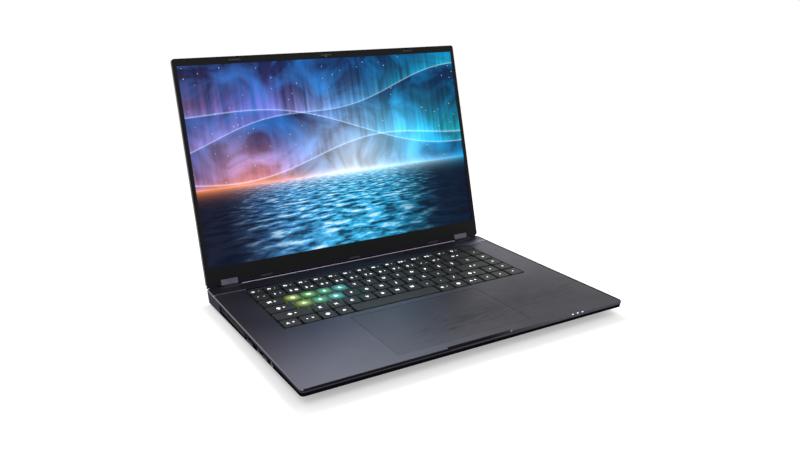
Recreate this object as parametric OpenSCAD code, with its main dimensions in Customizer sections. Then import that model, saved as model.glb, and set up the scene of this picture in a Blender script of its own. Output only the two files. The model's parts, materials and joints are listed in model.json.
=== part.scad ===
// Notebook computer of the 16 inch class, open, standing on its rubber feet.
// X runs to the right, Y to the back and Z up; Z = 0 is the table.

/* [Base] */
// Width of the base
body_w = 357.5; // [347.5:0.5:367.5]
// Depth of the base
body_d = 253; // [247:1:261]
// Height of the deck above the table
deck_h = 17.5; // [17.2:0.1:19]
// Height of the side wall at the front
wall_front_h = 6.8; // [6.7:0.1:7.6]
// Height of the wall's lower edge above the table at the back
wall_rear_z = 3; // [2.7:0.1:3.5]
// How far the walls lean in between deck and lower edge
wall_lean = 0.9; // [0.5:0.1:1.2]
// Thickness of the deck plate
deck_t = 1.4; // [1.2:0.1:1.6]
// Thickness of the side walls at their lower edge
wall_t = 1.6; // [1.3:0.1:2]
// Corner radius seen from above
corner_r = 4; // [3.5:0.5:8]
// Width of the polished bevel round the deck
edge_bevel = 0.9; // [0.5:0.1:1.2]
// Thickness of the bottom cover
cover_t = 1.2; // [1:0.1:1.4]
// Height of the rubber feet under the bottom cover
foot_h = 2; // [1.6:0.1:2.4]
// How far the flat belly stays back from the front edge
belly_front = 25; // [22:1:30]
// How far the flat belly stays in from the sides at the front
belly_side = 15; // [13:1:18]
// Depth of the recess in the back between the two shoulders
rear_recess = 3; // [2.4:0.1:3.4]
// Height of the step up to the strip behind the keyboard
strip_h = 0.4; // [0.2:0.1:0.4]
// Distance from the step to the back edge
strip_d = 26; // [25.5:0.5:26.5]
// Width of the raised lip along the back edge
lip_w = 1.4; // [1:0.1:1.8]
// Height of the raised lip above the strip
lip_h = 0.25; // [0.15:0.05:0.3]
// Width of the finger scoop in the front edge
scoop_w = 72; // [50:1:90]

/* [Keyboard] */
// Width of one key unit
key_pitch = 18.125; // [17.6:0.025:18.4]
// Distance between two rows of keys
row_pitch = 19; // [18.4:0.1:19.2]
// Depth of the row of function keys
function_row = 13.5; // [12.5:0.1:14]
// Gap between two keycaps
key_gap = 2.3; // [1.8:0.1:3]
// Height of the keycaps above the deck
key_rise = 0.2; // [0:0.1:0.4]
// Height of a keycap
cap_h = 1.3; // [1.1:0.1:1.5]
// Slope of the keycap sides
cap_draft = 0.45; // [0.2:0.05:0.6]
// Travel of a key
key_travel = 1.6; // [1.2:0.1:1.7]
// Radius of the guide stem under a keycap
stem_r = 1.1; // [0.9:0.1:1.3]
// Distance from the back edge to the keyboard well
well_back = 28; // [27.5:0.5:29]

/* [Touchpad] */
// Width of the touchpad
pad_w = 149; // [130:1:155]
// Distance from the front edge to the touchpad
pad_front = 13.5; // [8:0.5:22]
// Offset of the touchpad from the middle
pad_x = -5.5; // [-15:0.5:5]
// Distance between keyboard well and touchpad
pad_back = 8.5; // [8:0.5:10]
// Thickness of the touchpad
pad_t = 1.4; // [1.2:0.1:1.6]
// Gap round the touchpad
pad_gap = 0.35; // [0.25:0.05:0.5]

/* [Lid] */
// Distance from the hinge axis to the lower edge of the lid
lid_start = 4.1; // [4:0.1:4.8]
// How far the lid stays in from the sides of the base
lid_in = 0.75; // [0.5:0.05:1]
// Thickness of the lid
lid_t = 5.5; // [5.3:0.1:6.5]
// How far the lid ends before the front edge when shut
lid_flush = 0; // [0:0.1:0.5]
// Gap between lid and deck when shut
lid_gap = 0.9; // [0.8:0.1:1.2]
// Angle between deck and lid as modelled
lid_angle = 104.9; // [95:0.1:120]
// Distance from the side of the lid to the picture
screen_side = 4.5; // [4:0.1:8]
// Distance from the top of the lid to the picture
screen_over = 7.8; // [7.4:0.1:10]
// Height of the chin below the picture
chin_h = 19.5; // [18.5:0.5:24]
// Height of the metal edge below the bezel
lid_sill = 3.4; // [2.6:0.1:3.8]
// Thickness of the display bezel
bezel_t = 0.9; // [0.7:0.1:1]
// Thickness of the lid's back
lid_wall = 1.2; // [1:0.1:1.3]
// Width of the rim that frames the bezel
lid_rim = 1.2; // [1:0.1:1.5]
// Corner radius of the lid
lid_r = 3; // [2.5:0.5:8]
// Thickness of the display panel
panel_t = 2.6; // [2.2:0.1:2.7]

/* [Hinges] */
// Distance from the hinge axis to the back edge
hinge_in = 4.6; // [4.5:0.1:4.8]
// Depth of the hinge axis below the deck
hinge_drop = 1.9; // [1.8:0.1:2]
// Radius of the hinge pin
pin_r = 1.5; // [1.2:0.1:1.6]
// Running clearance round the hinge pin
pin_play = 0.05; // [0.03:0.01:0.08]
// Outer radius of the hinge knuckle
knuckle_r = 3.3; // [2.9:0.1:3.4]
// Width of a hinge knuckle
knuckle_w = 18.6; // [16:0.2:20]
// Distance from the side of the base to the middle of a knuckle
knuckle_side = 26.2; // [25:0.2:30]
// Thickness of the ears of a hinge bracket
ear_t = 2.4; // [2:0.1:3]

/* [Cooling] */
// Distance from the side of the base to the middle of a fan
fan_side = 73.8; // [71:0.2:78]
// Distance from the back edge to the middle of a fan
fan_back = 65; // [63:1:67]
// Radius of a fan impeller
fan_r = 34; // [30:1:35]
// Number of blades of an impeller
fan_blades = 31; // [21:2:41]
// Radius of an impeller's hub
hub_r = 12; // [10:0.5:14]
// Radius of an impeller's shaft
shaft_r = 1.5; // [1:0.1:2]
// Width of a heat pipe
pipe_w = 8; // [6:0.5:8.5]
// Gap between the heat pipes and the bottom cover
pipe_clear = 0.7; // [0.5:0.1:1.1]
// Spacing of the cooling fins
fin_pitch = 3.2; // [2.4:0.2:4]
// Thickness of a cooling fin
fin_t = 0.4; // [0.3:0.1:0.6]

/* [Ports] */
// Width of the network socket
ethernet_w = 16; // [15:0.5:17]
// Height of the network socket
ethernet_h = 6.4; // [6.2:0.1:6.4]
// Width of a USB A socket
usb_a_w = 13.2; // [12.8:0.1:13.6]
// Height of a USB A socket
usb_a_h = 5.7; // [5.5:0.1:5.8]
// Width of the USB C socket
usb_c_w = 9; // [8.8:0.1:9.4]
// Height of the USB C socket
usb_c_h = 3.3; // [3.2:0.1:3.5]
// Width of the video socket
hdmi_w = 15; // [14.8:0.1:15.6]
// Radius of the headphone hole
jack_r = 1.75; // [1.75:0.05:1.85]
// Radius of the ring round the headphone hole
jack_ring_r = 2.8; // [2.4:0.1:2.9]
// Clearance between a socket and its cut-out
port_play = 0.15; // [0.1:0.05:0.25]

/* [Hidden] */
$fn = 48;

// A hair of overlap, a cut's overshoot and a length that reaches past everything
eps = 0.01;
over = 1;
big = 600;

// Colours
slate = "#4a4a5c";
dark = "#24252b";
black = "#101114";
keycap_grey = "#33352f";
steel = "#a9abb8";
copper = "#b87333";
board_green = "#1d4a36";

// Gaps between pieces that are fitted together
wall_gap = 0.1;
seat_gap = 0.02;
hinge_play = 0.4;
ear_gap = 0.3;
shaft_play = 0.05;
stem_play = 0.2;
board_gap = 0.3;
light_play = 0.05;

// Heights and edges of the base
front_y = -body_d / 2;
rear_y = body_d / 2;
side_x = body_w / 2;
belly_z = foot_h;
cover_top_z = belly_z + cover_t;
inner_top_z = deck_h - deck_t;
wall_rear_h = deck_h - wall_rear_z;
wall_slope = atan((wall_rear_h - wall_front_h) / body_d);
cavity_in = wall_lean + wall_t;
recess_y = rear_y - rear_recess;
step_y = rear_y - strip_d;
step_run = 2;
strip_in = edge_bevel + 0.5;

// The groove in the front wall and the finger scoop
groove_drop = 3.7;
groove_h = 0.5;
groove_d = 0.75;
scoop_d = 3.6;
scoop_low_d = 0.5;
scoop_h = 2.3;
scoop_flare = 3;

// The belly of the bottom cover
belly_rear_in = 1.5;
belly_rear_side = 2.5;
belly_cut = 8;
tub_over = 0.5;

// The hinge axis and the lid in its own frame, where the axis is the origin
hinge_y = rear_y - hinge_in;
hinge_z = deck_h - hinge_drop;
lid_tilt = lid_angle - 90;
lid_w = body_w - 2 * lid_in;
lid_bevel = 0.8;
face_y = lid_gap + hinge_drop;
back_y = face_y + lid_t;
lid_top = hinge_y - front_y - lid_flush;
lid_bottom = lid_start;
lid_l = lid_top - lid_bottom;

// The picture, the panel behind it and the camera above it
screen_w = lid_w - 2 * screen_side;
screen_bottom = lid_bottom + chin_h;
screen_top = lid_top - screen_over;
panel_side = 1.8;
panel_low = 2.5;
panel_top = screen_top + 1.3;
lens_r = 1.1;
lens_z = (screen_top + lid_top - lid_rim) / 2 + 0.1;
camera_w = 40;
camera_t = 1.8;

// Rubber strips that keep the lid off the deck
bumper_w = 14;
bumper_d = 1.6;
bumper_xs = [-110, 0, 110];
bumper_in = 4;
bumper_low = 1.8;

// The hinges and the spine of the lid behind them
knuckle_x = side_x - knuckle_side;
knuckle_in = knuckle_x - knuckle_w / 2;
knuckle_out = knuckle_x + knuckle_w / 2;
ear_in = knuckle_in - ear_gap - ear_t;
ear_out = knuckle_out + ear_gap;
ear_r = knuckle_r - 0.9;
notch_in = ear_in - hinge_play;
notch_out = ear_out + ear_t + hinge_play;
notch_under = 0.6;
arm_up = 5.4;
spine_in = face_y + 1;
spine_end = 1;
leaf_t = 2;
leaf_side = 12;
bracket_l = 13;
bracket_plate_t = 1.2;
bracket_y = hinge_y - knuckle_r - hinge_play - 0.3;

// The part's origin is under the middle of its bounding box
part_rear = hinge_y + back_y * cos(lid_tilt) + (lid_top - lid_bevel) * sin(lid_tilt);
origin_y = (front_y + part_rear) / 2;

// The keyboard, whose rows list the widths of their keys in key units
key_rows = [
    [for (i = [0:15]) 1],
    [for (i = [0:12]) 1, 2, 1],
    [1.5, for (i = [0:11]) 1, 1.5, 1],
    [1.75, for (i = [0:10]) 1, 2.25, 1],
    [2.25, for (i = [0:9]) 1, 1.75, 1, 1],
    [1.125, 1.125, 1, 1, 5.625, 1, 1, 1.125, 1, 1, 1]
];
row_units = 16;
well_side = 0.6;
well_end = 0.75;
well_r = 2.5;
well_w = row_units * key_pitch + 2 * well_side;
well_d = function_row + 5 * row_pitch + 2 * well_end;
well_y = rear_y - well_back - well_d;
well_mid_y = well_y + well_d / 2;
key_corner = 1.6;
cap_top_z = deck_h + key_rise;
cap_bottom_z = cap_top_z - cap_h;
stem_sink = 0.5;
plate_t = 0.5;
plate_top_z = cap_bottom_z - key_travel - 0.3;
plate_flange = 3.5;
plate_wall = 1.5;

// The touchpad and the tray under it
pad_rear = well_y - pad_back;
pad_d = pad_rear - front_y - pad_front;
pad_y = pad_rear - pad_d / 2;
pad_r = 3;
pad_top_z = deck_h - 0.1;
pad_bottom_z = pad_top_z - pad_t;
pad_sink = 0.6;
tray_t = 0.7;
tray_top_z = pad_bottom_z - pad_sink - 0.5;
tray_side = 7;
tray_end = 2;
tray_rib = 5;
tray_window = 12;
pivot_w = 12;
pivot_d = 3;
switch_r = 3;
switch_in = 8;
switch_h = 0.45;

// Fans: the impeller in its housing
fan_x = side_x - fan_side;
fan_y = rear_y - fan_back;
fan_wall = 1;
fan_gap = 1;
fan_house_r = fan_r + fan_gap + fan_wall;
fan_inlet_r = fan_r * 0.72;
fan_mouth = 8;
blade_t = 0.7;
blade_sweep = 32;
blade_in = 0.5;
blade_root = 0.6;
shaft_end = 1;

// Sockets: their places are measured from the back edge
socket_l = 14;
socket_in = 0.7;
socket_mouth = 10;
ethernet_y = rear_y - 132.5;
usb_a_left_y = rear_y - 158;
usb_c_y = rear_y - 172.5;
audio_y = rear_y - 188.5;
usb_a_right_ys = [rear_y - 134, rear_y - 162];
usb_c_up = 1;
jack_up = 3.2;
jack_ring_l = 5;
rear_socket_x = 22;
power_w = 11.4;
rear_socket_h = 4.4;
rear_socket_z = wall_rear_z + 1.1;
side_socket_x = side_x - socket_in;
rear_socket_y = recess_y - socket_in;

// Mainboard: its outline goes round the fans and the battery
board_t = 1.2;
board_top_z = deck_h - 8.8;
board_bottom_z = board_top_z - board_t;
board_x = side_socket_x - socket_l - board_gap;
board_rear = rear_socket_y - socket_l;
board_front = rear_y - 151;
board_mid_x = fan_x - fan_house_r - 5;
board_mid_y = fan_y - fan_house_r - 11;
board_arm_x = fan_x + 13;
board_left_y = audio_y - 7.5;
board_right_y = usb_a_right_ys[1] - 10;

// The two chips under the board, and the coils on it
chip_t = 1.2;
chip_d = 30;
chip_in = 16;
chip_out = board_mid_x - 14;
chip_x = (chip_in + chip_out) / 2;
chip_y = rear_y - 78;
coil = 8;
coil_h = 1.5;
coil_in = 18;

// Cooling: heat pipes below the chips, fans and fins at the walls
pipe_top_z = board_bottom_z - chip_t;
pipe_t = pipe_top_z - cover_top_z - pipe_clear;
fan_top_z = deck_h - 5.7;
fan_bottom_z = pipe_top_z - pipe_t;
rotor_top_z = fan_top_z - fan_wall - 0.5;
rotor_bottom_z = fan_bottom_z + fan_wall + 0.5;
fin_plate_t = 0.6;
side_sink_d = 26;
side_sink_x = side_x - 6;
rear_sink_d = 17;
rear_sink_y = rear_y - 24;
rear_run = rear_sink_y + 13;
front_run = fan_y - fan_house_r - 7.5;
side_run = side_sink_x - side_sink_d / 2;
pipe_bend = 10;
pipe_end = 5;

// Vents in the side and back walls
vent_front = rear_y - 121;
vent_rear = rear_y - 47;
vent_open = rear_y - 99;
vent_top_z = deck_h - 2.2;
vent_h = 6.2;
vent_t = 1.1;
vent_in = 0.8;
frame_side = 1;
frame_end = 0.8;
slat_pitch = 3.7;
slat_t = 1;
slat_back = 0.4;
rear_vent_in = side_x - 105.8;
rear_vent_out = side_x - 43.8;
rear_vent_top_z = deck_h - 6.4;
rear_vent_h = rear_vent_top_z - wall_rear_z - 1.7;

// Memory cards and the solid state drive under the board
card_z = board_bottom_z - 2;
card_t = 1;
card_chip_t = 2;
card_chip_in = 2;
memory_w = 70;
memory_d = 14;
memory_ys = [board_front + 3, board_front + 19];
ssd_w = 22;
ssd_l = 80;
ssd_y = board_rear - 6.5 - ssd_l;
ssd_chip_l = 18;
ssd_chip_pitch = 24;

// Battery of four cells, between the speakers and in front of the board
battery_w = 2 * (board_arm_x - 7);
battery_front = front_y + belly_front + 8;
battery_rear = board_front - 6;
battery_bottom_z = cover_top_z + 0.3;
battery_h = tray_top_z - tray_t - 0.6 - battery_bottom_z;
cell_count = 4;
cell_pitch = battery_w / cell_count;
cell_gap = 2;
cell_r = 2.5;
frame_z = 0.5;
battery_frame_t = 1.2;

// Speakers
speaker_w = 36;
speaker_d = 28;
speaker_h = 5;
speaker_x = side_x - 39;
speaker_y = front_y + belly_front + 9;
cone_r = 9;
cone_h = 0.8;

// Feet, and slots in the bottom cover
foot_d = 9;
foot_r = 4;
rear_foot_w = body_w - 76;
rear_foot_y = rear_y - 34;
front_foot_w = 44;
front_foot_x = side_x - 78;
front_foot_y = front_y + belly_front + 14;
intake = [52, 38];
intake_slot = [1.8, 10];
intake_pitch = 4;
sound_slot = [1.5, 5];
sound_pitch = 3;
slot_gap = 2;

// Screws, and the bosses that they hold
screw_r = 1;
screw_l = 8;
screw_head_r = 2.2;
screw_head_h = 0.7;
screw_key_r = 0.8;
screw_key_d = 0.4;
screw_play = 0.1;
boss_r = 2.6;
board_boss_r = 2.2;
screw_spots = [
    for (s = [-1, 1]) [s * (side_x - 9), rear_y - 26],
    for (s = [-1, 1]) [s * (side_x - belly_side + 1), rear_y - 108],
    for (s = [-1, 1]) [s * (side_x - 60.5), front_y + belly_front + 4],
    for (s = [-1, 1]) [s * (side_x - 110), rear_y - 20.5]
];
board_spots = [
    for (s = [-1, 1]) [s * (board_mid_x - 8), board_rear - 4],
    for (s = [-1, 1]) [s * (board_x - 9.5), board_front + 1]
];

// Status lights: short bars that lie in the bevel of the front edge
light_w = 2;
light_h = 0.6;
light_l = 1.6;
light_low_z = deck_h - edge_bevel / 2 - light_h / 2;
light_xs = [for (i = [2:-1:0]) side_x - 55 - 6.3 * i];

// ---------- helpers ----------

// Places a piece that is drawn from the middle of the base
module at_base() {
    translate([0, -origin_y, 0]) children();
}

// Places a piece that is drawn from the hinge axis, with the lid upright
module at_lid() {
    at_base() translate([0, hinge_y, hinge_z]) rotate([-lid_tilt, 0, 0]) children();
}

// Draws the children and their mirror image on the other side
module both_sides() {
    for (side = [0, 1]) mirror([side, 0, 0]) children();
}

// A rounded rectangle about the origin, with true arcs
module round_rect(w, d, r) {
    square([w - 2 * r, d], center = true);
    square([w, d - 2 * r], center = true);
    for (x = [-1, 1], y = [-1, 1]) translate([x * (w / 2 - r), y * (d / 2 - r)]) circle(r);
}

// A rounded rectangle with three straight cuts at each corner
module cut_rect(w, d, c) {
    k = c * 0.3;
    q = [[w / 2, d / 2 - c], [w / 2 - k, d / 2 - k], [w / 2 - c, d / 2]];
    polygon([
        for (i = [0:2]) q[i],
        for (i = [2:-1:0]) [-q[i][0], q[i][1]],
        for (i = [0:2]) -q[i],
        for (i = [2:-1:0]) [q[i][0], -q[i][1]]
    ]);
}

// Extrudes a profile that is drawn in Y and Z along X, from x1 to x2
module along_x(x1, x2) {
    translate([x1, 0, 0]) rotate([90, 0, 90]) linear_extrude(x2 - x1) children();
}

// A box between two corners
module block(low, high) {
    translate(low) cube(high - low);
}

// ---------- base ----------

// Everything that lies below the lower edge of the side walls, less a gap
module below_walls(gap = 0) {
    translate([0, front_y, deck_h - wall_front_h - gap]) rotate([-wall_slope, 0, 0])
        translate([-big / 2, -big / 4, -big]) cube([big, big, big]);
}

// A thin plate of the wall's lower outline, in its sloping plane
module lower_outline(inset, thick) {
    translate([0, front_y, deck_h - wall_front_h]) rotate([-wall_slope, 0, 0])
        translate([0, body_d / 2 / cos(wall_slope), 0])
            linear_extrude(thick) round_rect(body_w - 2 * inset, body_d / cos(wall_slope) - 2 * inset,
                corner_r - inset / 2, $fn = 32);
}

// The outside of the case: a bevelled deck whose walls lean in towards the sloping lower edge
module case_blank() {
    hull($fn = 32) {
        translate([0, 0, deck_h - eps])
            linear_extrude(eps) round_rect(body_w - 2 * edge_bevel, body_d - 2 * edge_bevel,
                corner_r - edge_bevel, $fn = 32);
        translate([0, 0, deck_h - edge_bevel - eps])
            linear_extrude(eps) round_rect(body_w, body_d, corner_r, $fn = 32);
        lower_outline(wall_lean, eps);
    }
}

// The strip behind the keyboard, with its bevel towards the front
module rear_strip() {
    intersection() {
        translate([0, 0, deck_h - eps]) linear_extrude(2 * strip_h)
            round_rect(body_w - 2 * strip_in, body_d - 2 * strip_in, corner_r - edge_bevel / 2);
        along_x(-side_x, side_x) polygon([
            [step_y, deck_h - eps], [step_y + step_run, deck_h + strip_h],
            [rear_y, deck_h + strip_h], [rear_y, deck_h - eps]
        ]);
    }
}

// The low lip between the hinges, where the deck ends in front of the lid
module rear_lip() {
    foot_z = deck_h + strip_h;
    along_x(-notch_in, notch_in) polygon([
        [recess_y - lip_w, foot_z - eps], [recess_y - lip_w + lip_h, foot_z + lip_h],
        [recess_y, foot_z + lip_h], [recess_y, foot_z - eps]
    ]);
}

module side_vent_cut(play) {
    block([side_x - cavity_in - over, vent_front - play, vent_top_z - vent_h - play],
          [side_x + over, vent_rear + play, vent_top_z + play]);
}

module rear_vent_cut(play) {
    block([rear_vent_in - play, recess_y - wall_t - over, rear_vent_top_z - rear_vent_h - play],
          [rear_vent_out + play, recess_y + over, rear_vent_top_z + play]);
}

// A cut-out for a socket in the left wall
module left_cut(y, w, z, h) {
    block([-side_x - over, y - w / 2 - port_play, z - port_play],
          [-side_x + cavity_in + over, y + w / 2 + port_play, z + h + port_play]);
}

module rear_cut(x, w) {
    block([x - w / 2 - port_play, recess_y - wall_t - over, rear_socket_z - port_play],
          [x + w / 2 + port_play, recess_y + over, rear_socket_z + rear_socket_h + port_play]);
}

// A dip in the front edge where a finger lifts the lid
module finger_scoop() {
    half = scoop_w / 2;
    hull() {
        block([-half, front_y - over, deck_h - wall_gap], [half, front_y + scoop_d, deck_h + over]);
        block([-half + scoop_flare, front_y - over, deck_h - scoop_h],
              [half - scoop_flare, front_y + scoop_low_d, deck_h]);
    }
}

// One status light, which follows the bevel, at its own size or larger by a clearance
module light_bar(x, play) {
    low = light_low_z - play;
    high = light_low_z + light_h + play;
    low_y = front_y + edge_bevel + low - deck_h;
    end_y = low_y + light_l + play;
    along_x(x - light_w / 2 - play, x + light_w / 2 + play)
        polygon([[low_y - play, low], [end_y, low], [end_y, high], [low_y - play + high - low, high]]);
}

// Everything that is cut out of the case from above: the wells, the hinge notches and the finger scoop
module deck_cuts() {
    plate_cut = deck_t + 2 * over;
    translate([0, well_mid_y, inner_top_z - over]) linear_extrude(plate_cut)
        round_rect(well_w, well_d, well_r);
    translate([pad_x, pad_y, inner_top_z - over]) linear_extrude(plate_cut)
        round_rect(pad_w + 2 * pad_gap, pad_d + 2 * pad_gap, pad_r + pad_gap);
    both_sides() block(
        [notch_in, hinge_y - knuckle_r - hinge_play, hinge_z - knuckle_r - hinge_play - notch_under],
        [notch_out, rear_y + over, deck_h + over]
    );
    finger_scoop();
}

// Everything that is cut into the walls: the groove, vents, sockets and status lights
module wall_cuts() {
    block([-side_x + corner_r, front_y - over, deck_h - groove_drop - groove_h],
          [side_x - corner_r, front_y + groove_d, deck_h - groove_drop]);
    both_sides() side_vent_cut(wall_gap);
    both_sides() rear_vent_cut(wall_gap);
    left_cut(ethernet_y, ethernet_w, board_top_z, ethernet_h);
    left_cut(usb_a_left_y, usb_a_w, board_top_z, usb_a_h);
    left_cut(usb_c_y, usb_c_w, board_top_z + usb_c_up, usb_c_h);
    for (y = usb_a_right_ys) mirror([1, 0, 0]) left_cut(y, usb_a_w, board_top_z, usb_a_h);
    translate([-side_x - over, audio_y, board_top_z + jack_up]) rotate([0, 90, 0])
        cylinder(r = jack_ring_r + port_play, h = cavity_in + 2 * over);
    rear_cut(-rear_socket_x, hdmi_w);
    rear_cut(rear_socket_x, power_w);
    for (x = light_xs) light_bar(x, light_play);
}

// The case: deck and walls in one piece, hollow, with a recessed back and bosses for the screws
module top_case() {
    color(slate) at_base() difference() {
        union() {
            difference() {
                union() {
                    case_blank();
                    rear_strip();
                    rear_lip();
                }
                block([-side_x + cavity_in, front_y + cavity_in, 0],
                      [side_x - cavity_in, recess_y - wall_t, inner_top_z]);
                block([-notch_out, recess_y, 0], [notch_out, rear_y + over, deck_h + over]);
            }
            for (p = screw_spots) translate([p[0], p[1], cover_top_z + wall_gap])
                cylinder(r = boss_r, h = inner_top_z - cover_top_z - wall_gap + eps);
            for (p = board_spots) translate([p[0], p[1], board_top_z])
                cylinder(r = board_boss_r, h = inner_top_z - board_top_z + eps);
        }
        for (p = screw_spots) translate([p[0], p[1], 0])
            cylinder(r = screw_r + screw_play, h = inner_top_z - over);
        deck_cuts();
        wall_cuts();
    }
}

// The tub of the bottom cover: the sloping rim drawn down to the flat belly
module tub(inset, floor_z, rim_up) {
    front = front_y + belly_front + inset;
    rear = recess_y - belly_rear_in - inset;
    wide = side_x - belly_rear_side - inset;
    narrow = side_x - belly_side - inset;
    hull() {
        translate([0, 0, -wall_gap + rim_up]) intersection() {
            lower_outline(wall_lean + inset, eps);
            block([-big, -big, -big], [big, recess_y - inset, big]);
        }
        translate([0, 0, floor_z]) linear_extrude(eps) polygon([
            [-narrow + belly_cut, front], [narrow - belly_cut, front], [narrow, front + belly_cut],
            [wide, rear], [-wide, rear], [-narrow, front + belly_cut]
        ]);
    }
}

// Rows of slots that fill a field of the given size about the origin
module slot_field(field, slot, pitch) {
    row_step = slot[1] + slot_gap;
    for (i = [0:floor(field[0] / pitch)], j = [0:floor(field[1] / row_step)])
        translate([i * pitch - field[0] / 2, j * row_step - field[1] / 2, belly_z - over])
            cube([slot[0], slot[1], cover_t + 2 * over]);
}

module bottom_cover() {
    color(dark) at_base() difference() {
        tub(0, belly_z, 0);
        difference() {
            tub(cover_t, cover_top_z, tub_over);
            block([-big, -big, -big], [big, big, cover_top_z]);
        }
        for (p = screw_spots) translate([p[0], p[1], 0]) {
            cylinder(r = screw_r + screw_play, h = deck_h);
            cylinder(r = screw_head_r + screw_play, h = belly_z + screw_head_h + screw_play);
        }
        both_sides() translate([fan_x, fan_y - 6, 0]) slot_field(intake, intake_slot, intake_pitch);
        both_sides() translate([speaker_x, battery_front, 0]) slot_field([22, 0], sound_slot, sound_pitch);
    }
}

module bottom_screws() {
    color(steel) at_base() for (p = screw_spots) translate([p[0], p[1], belly_z + screw_play]) {
        difference() {
            cylinder(r = screw_head_r, h = screw_head_h);
            translate([0, 0, -over]) cylinder(r = screw_key_r, h = screw_key_d + over, $fn = 6);
        }
        cylinder(r = screw_r, h = screw_l);
    }
}

// One long foot at the back and two short ones in front
module rubber_feet() {
    color(black) at_base() {
        translate([0, rear_foot_y, 0]) linear_extrude(foot_h) round_rect(rear_foot_w, foot_d, foot_r);
        both_sides() translate([front_foot_x, front_foot_y, 0])
            linear_extrude(foot_h) round_rect(front_foot_w, foot_d, foot_r);
    }
}

// ---------- keyboard and touchpad ----------

// Sum of the widths of the first n keys of a row
function key_start(row, n) = n == 0 ? 0 : key_rows[row][n - 1] + key_start(row, n - 1);
function row_depth(row) = row == 0 ? function_row : row_pitch;
function row_end(row) = row == 0 ? 0 : function_row + (row - 1) * row_pitch;
function row_y(row) = well_y + well_d - well_end - row_end(row) - row_depth(row) / 2;
function key_x(row, i) = (key_start(row, i) + (key_rows[row][i] - row_units) / 2) * key_pitch;
function stem_xs(units) = units < 2 ? [0] : units < 3 ? [-0.5, 0.5] * key_pitch : [-2, 0, 2] * key_pitch;

// A keycap that tapers on all four sides, with its guide stems
module key(row, i) {
    w = key_rows[row][i] * key_pitch - key_gap;
    d = row_depth(row) - key_gap;
    translate([key_x(row, i), row_y(row), 0]) {
        intersection() {
            translate([0, 0, cap_bottom_z]) linear_extrude(cap_h) cut_rect(w, d, key_corner);
            along_x(-w / 2, w / 2) polygon([
                [-d / 2, cap_bottom_z], [d / 2, cap_bottom_z],
                [d / 2 - cap_draft, cap_top_z], [-d / 2 + cap_draft, cap_top_z]
            ]);
            rotate([0, 0, 90]) along_x(-d / 2, d / 2) polygon([
                [-w / 2, cap_bottom_z], [w / 2, cap_bottom_z],
                [w / 2 - cap_draft, cap_top_z], [-w / 2 + cap_draft, cap_top_z]
            ]);
        }
        for (x = stem_xs(key_rows[row][i])) translate([x, 0, plate_top_z - plate_t])
            cylinder(r = stem_r, h = cap_bottom_z + stem_sink - plate_top_z + plate_t, $fn = 24);
    }
}

module keys(row, first, last) {
    color(keycap_grey) at_base() for (i = [first:last]) key(row, i);
}

module modifier_keys() {
    keys(5, 0, 3);
    keys(5, 5, 7);
}

module side_column_keys() {
    keys(1, 14, 14);
    keys(2, 14, 14);
    keys(3, 13, 13);
    keys(4, 13, 13);
}

// Room round a socket of the left wall, for a plate that comes near it
module socket_notch(y, w, h) {
    translate([-side_socket_x, y - w / 2 - board_gap, board_top_z - board_gap])
        cube([socket_l + board_gap, w + 2 * board_gap, h + 2 * board_gap]);
}

// The tray under the keys, with a hole for each guide stem
module keyboard_plate() {
    color(black) at_base() difference() {
        translate([0, well_mid_y, plate_top_z - plate_t]) linear_extrude(inner_top_z - plate_top_z + plate_t)
            round_rect(well_w + 2 * plate_flange, well_d + 2 * plate_flange - 1, well_r + plate_wall);
        translate([0, well_mid_y, plate_top_z]) linear_extrude(deck_h)
            round_rect(well_w + 2, well_d + 2, well_r + plate_wall / 3);
        for (row = [0:5], i = [0:len(key_rows[row]) - 1], x = stem_xs(key_rows[row][i]))
            translate([key_x(row, i) + x, row_y(row), plate_top_z - plate_t - over])
                cylinder(r = stem_r + stem_play, h = plate_t + 2 * over, $fn = 24);
        socket_notch(ethernet_y, ethernet_w, ethernet_h);
        for (y = usb_a_right_ys) mirror([1, 0, 0]) socket_notch(y, usb_a_w, usb_a_h);
    }
}

module touchpad() {
    color(slate) at_base() translate([pad_x, pad_y, pad_bottom_z])
        linear_extrude(pad_t) round_rect(pad_w, pad_d, pad_r);
}

// The tray under the touchpad, with its ribs, two pivots and the switch in front
module touchpad_bracket() {
    color(steel) at_base() translate([pad_x, pad_y, 0]) {
        translate([0, 0, tray_top_z - tray_t]) linear_extrude(tray_t) difference() {
            square([pad_w + 2 * tray_side, pad_d + 2 * tray_end], center = true);
            for (s = [-1, 1]) translate([s * pad_w / 4, 0])
                square([pad_w / 2 - 2 * tray_window, pad_d - 2.5 * tray_window], center = true);
        }
        both_sides() block([pad_w / 2 + tray_side - tray_rib, -pad_d / 2 - tray_end, tray_top_z - eps],
                           [pad_w / 2 + tray_side, pad_d / 2 + tray_end, inner_top_z]);
        both_sides() block([pad_w / 3 - pivot_w / 2, pad_d / 2 - tray_end - pivot_d, tray_top_z - eps],
                           [pad_w / 3 + pivot_w / 2, pad_d / 2 - tray_end, pad_bottom_z - wall_gap]);
        translate([0, switch_in - pad_d / 2, tray_top_z - eps]) cylinder(r = switch_r, h = switch_h);
    }
}

// ---------- inside the base ----------

// The board reaches the sockets on both sides and leaves room for fans and battery
module mainboard_outline() {
    polygon([
        [-board_mid_x, board_front], [-board_arm_x, board_front], [-board_arm_x, board_left_y],
        [-board_x, board_left_y], [-board_x, board_mid_y], [-board_mid_x, board_mid_y],
        [-board_mid_x, board_rear], [board_mid_x, board_rear], [board_mid_x, board_mid_y],
        [board_x, board_mid_y], [board_x, board_right_y], [board_arm_x, board_right_y],
        [board_arm_x, board_front]
    ]);
}

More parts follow.
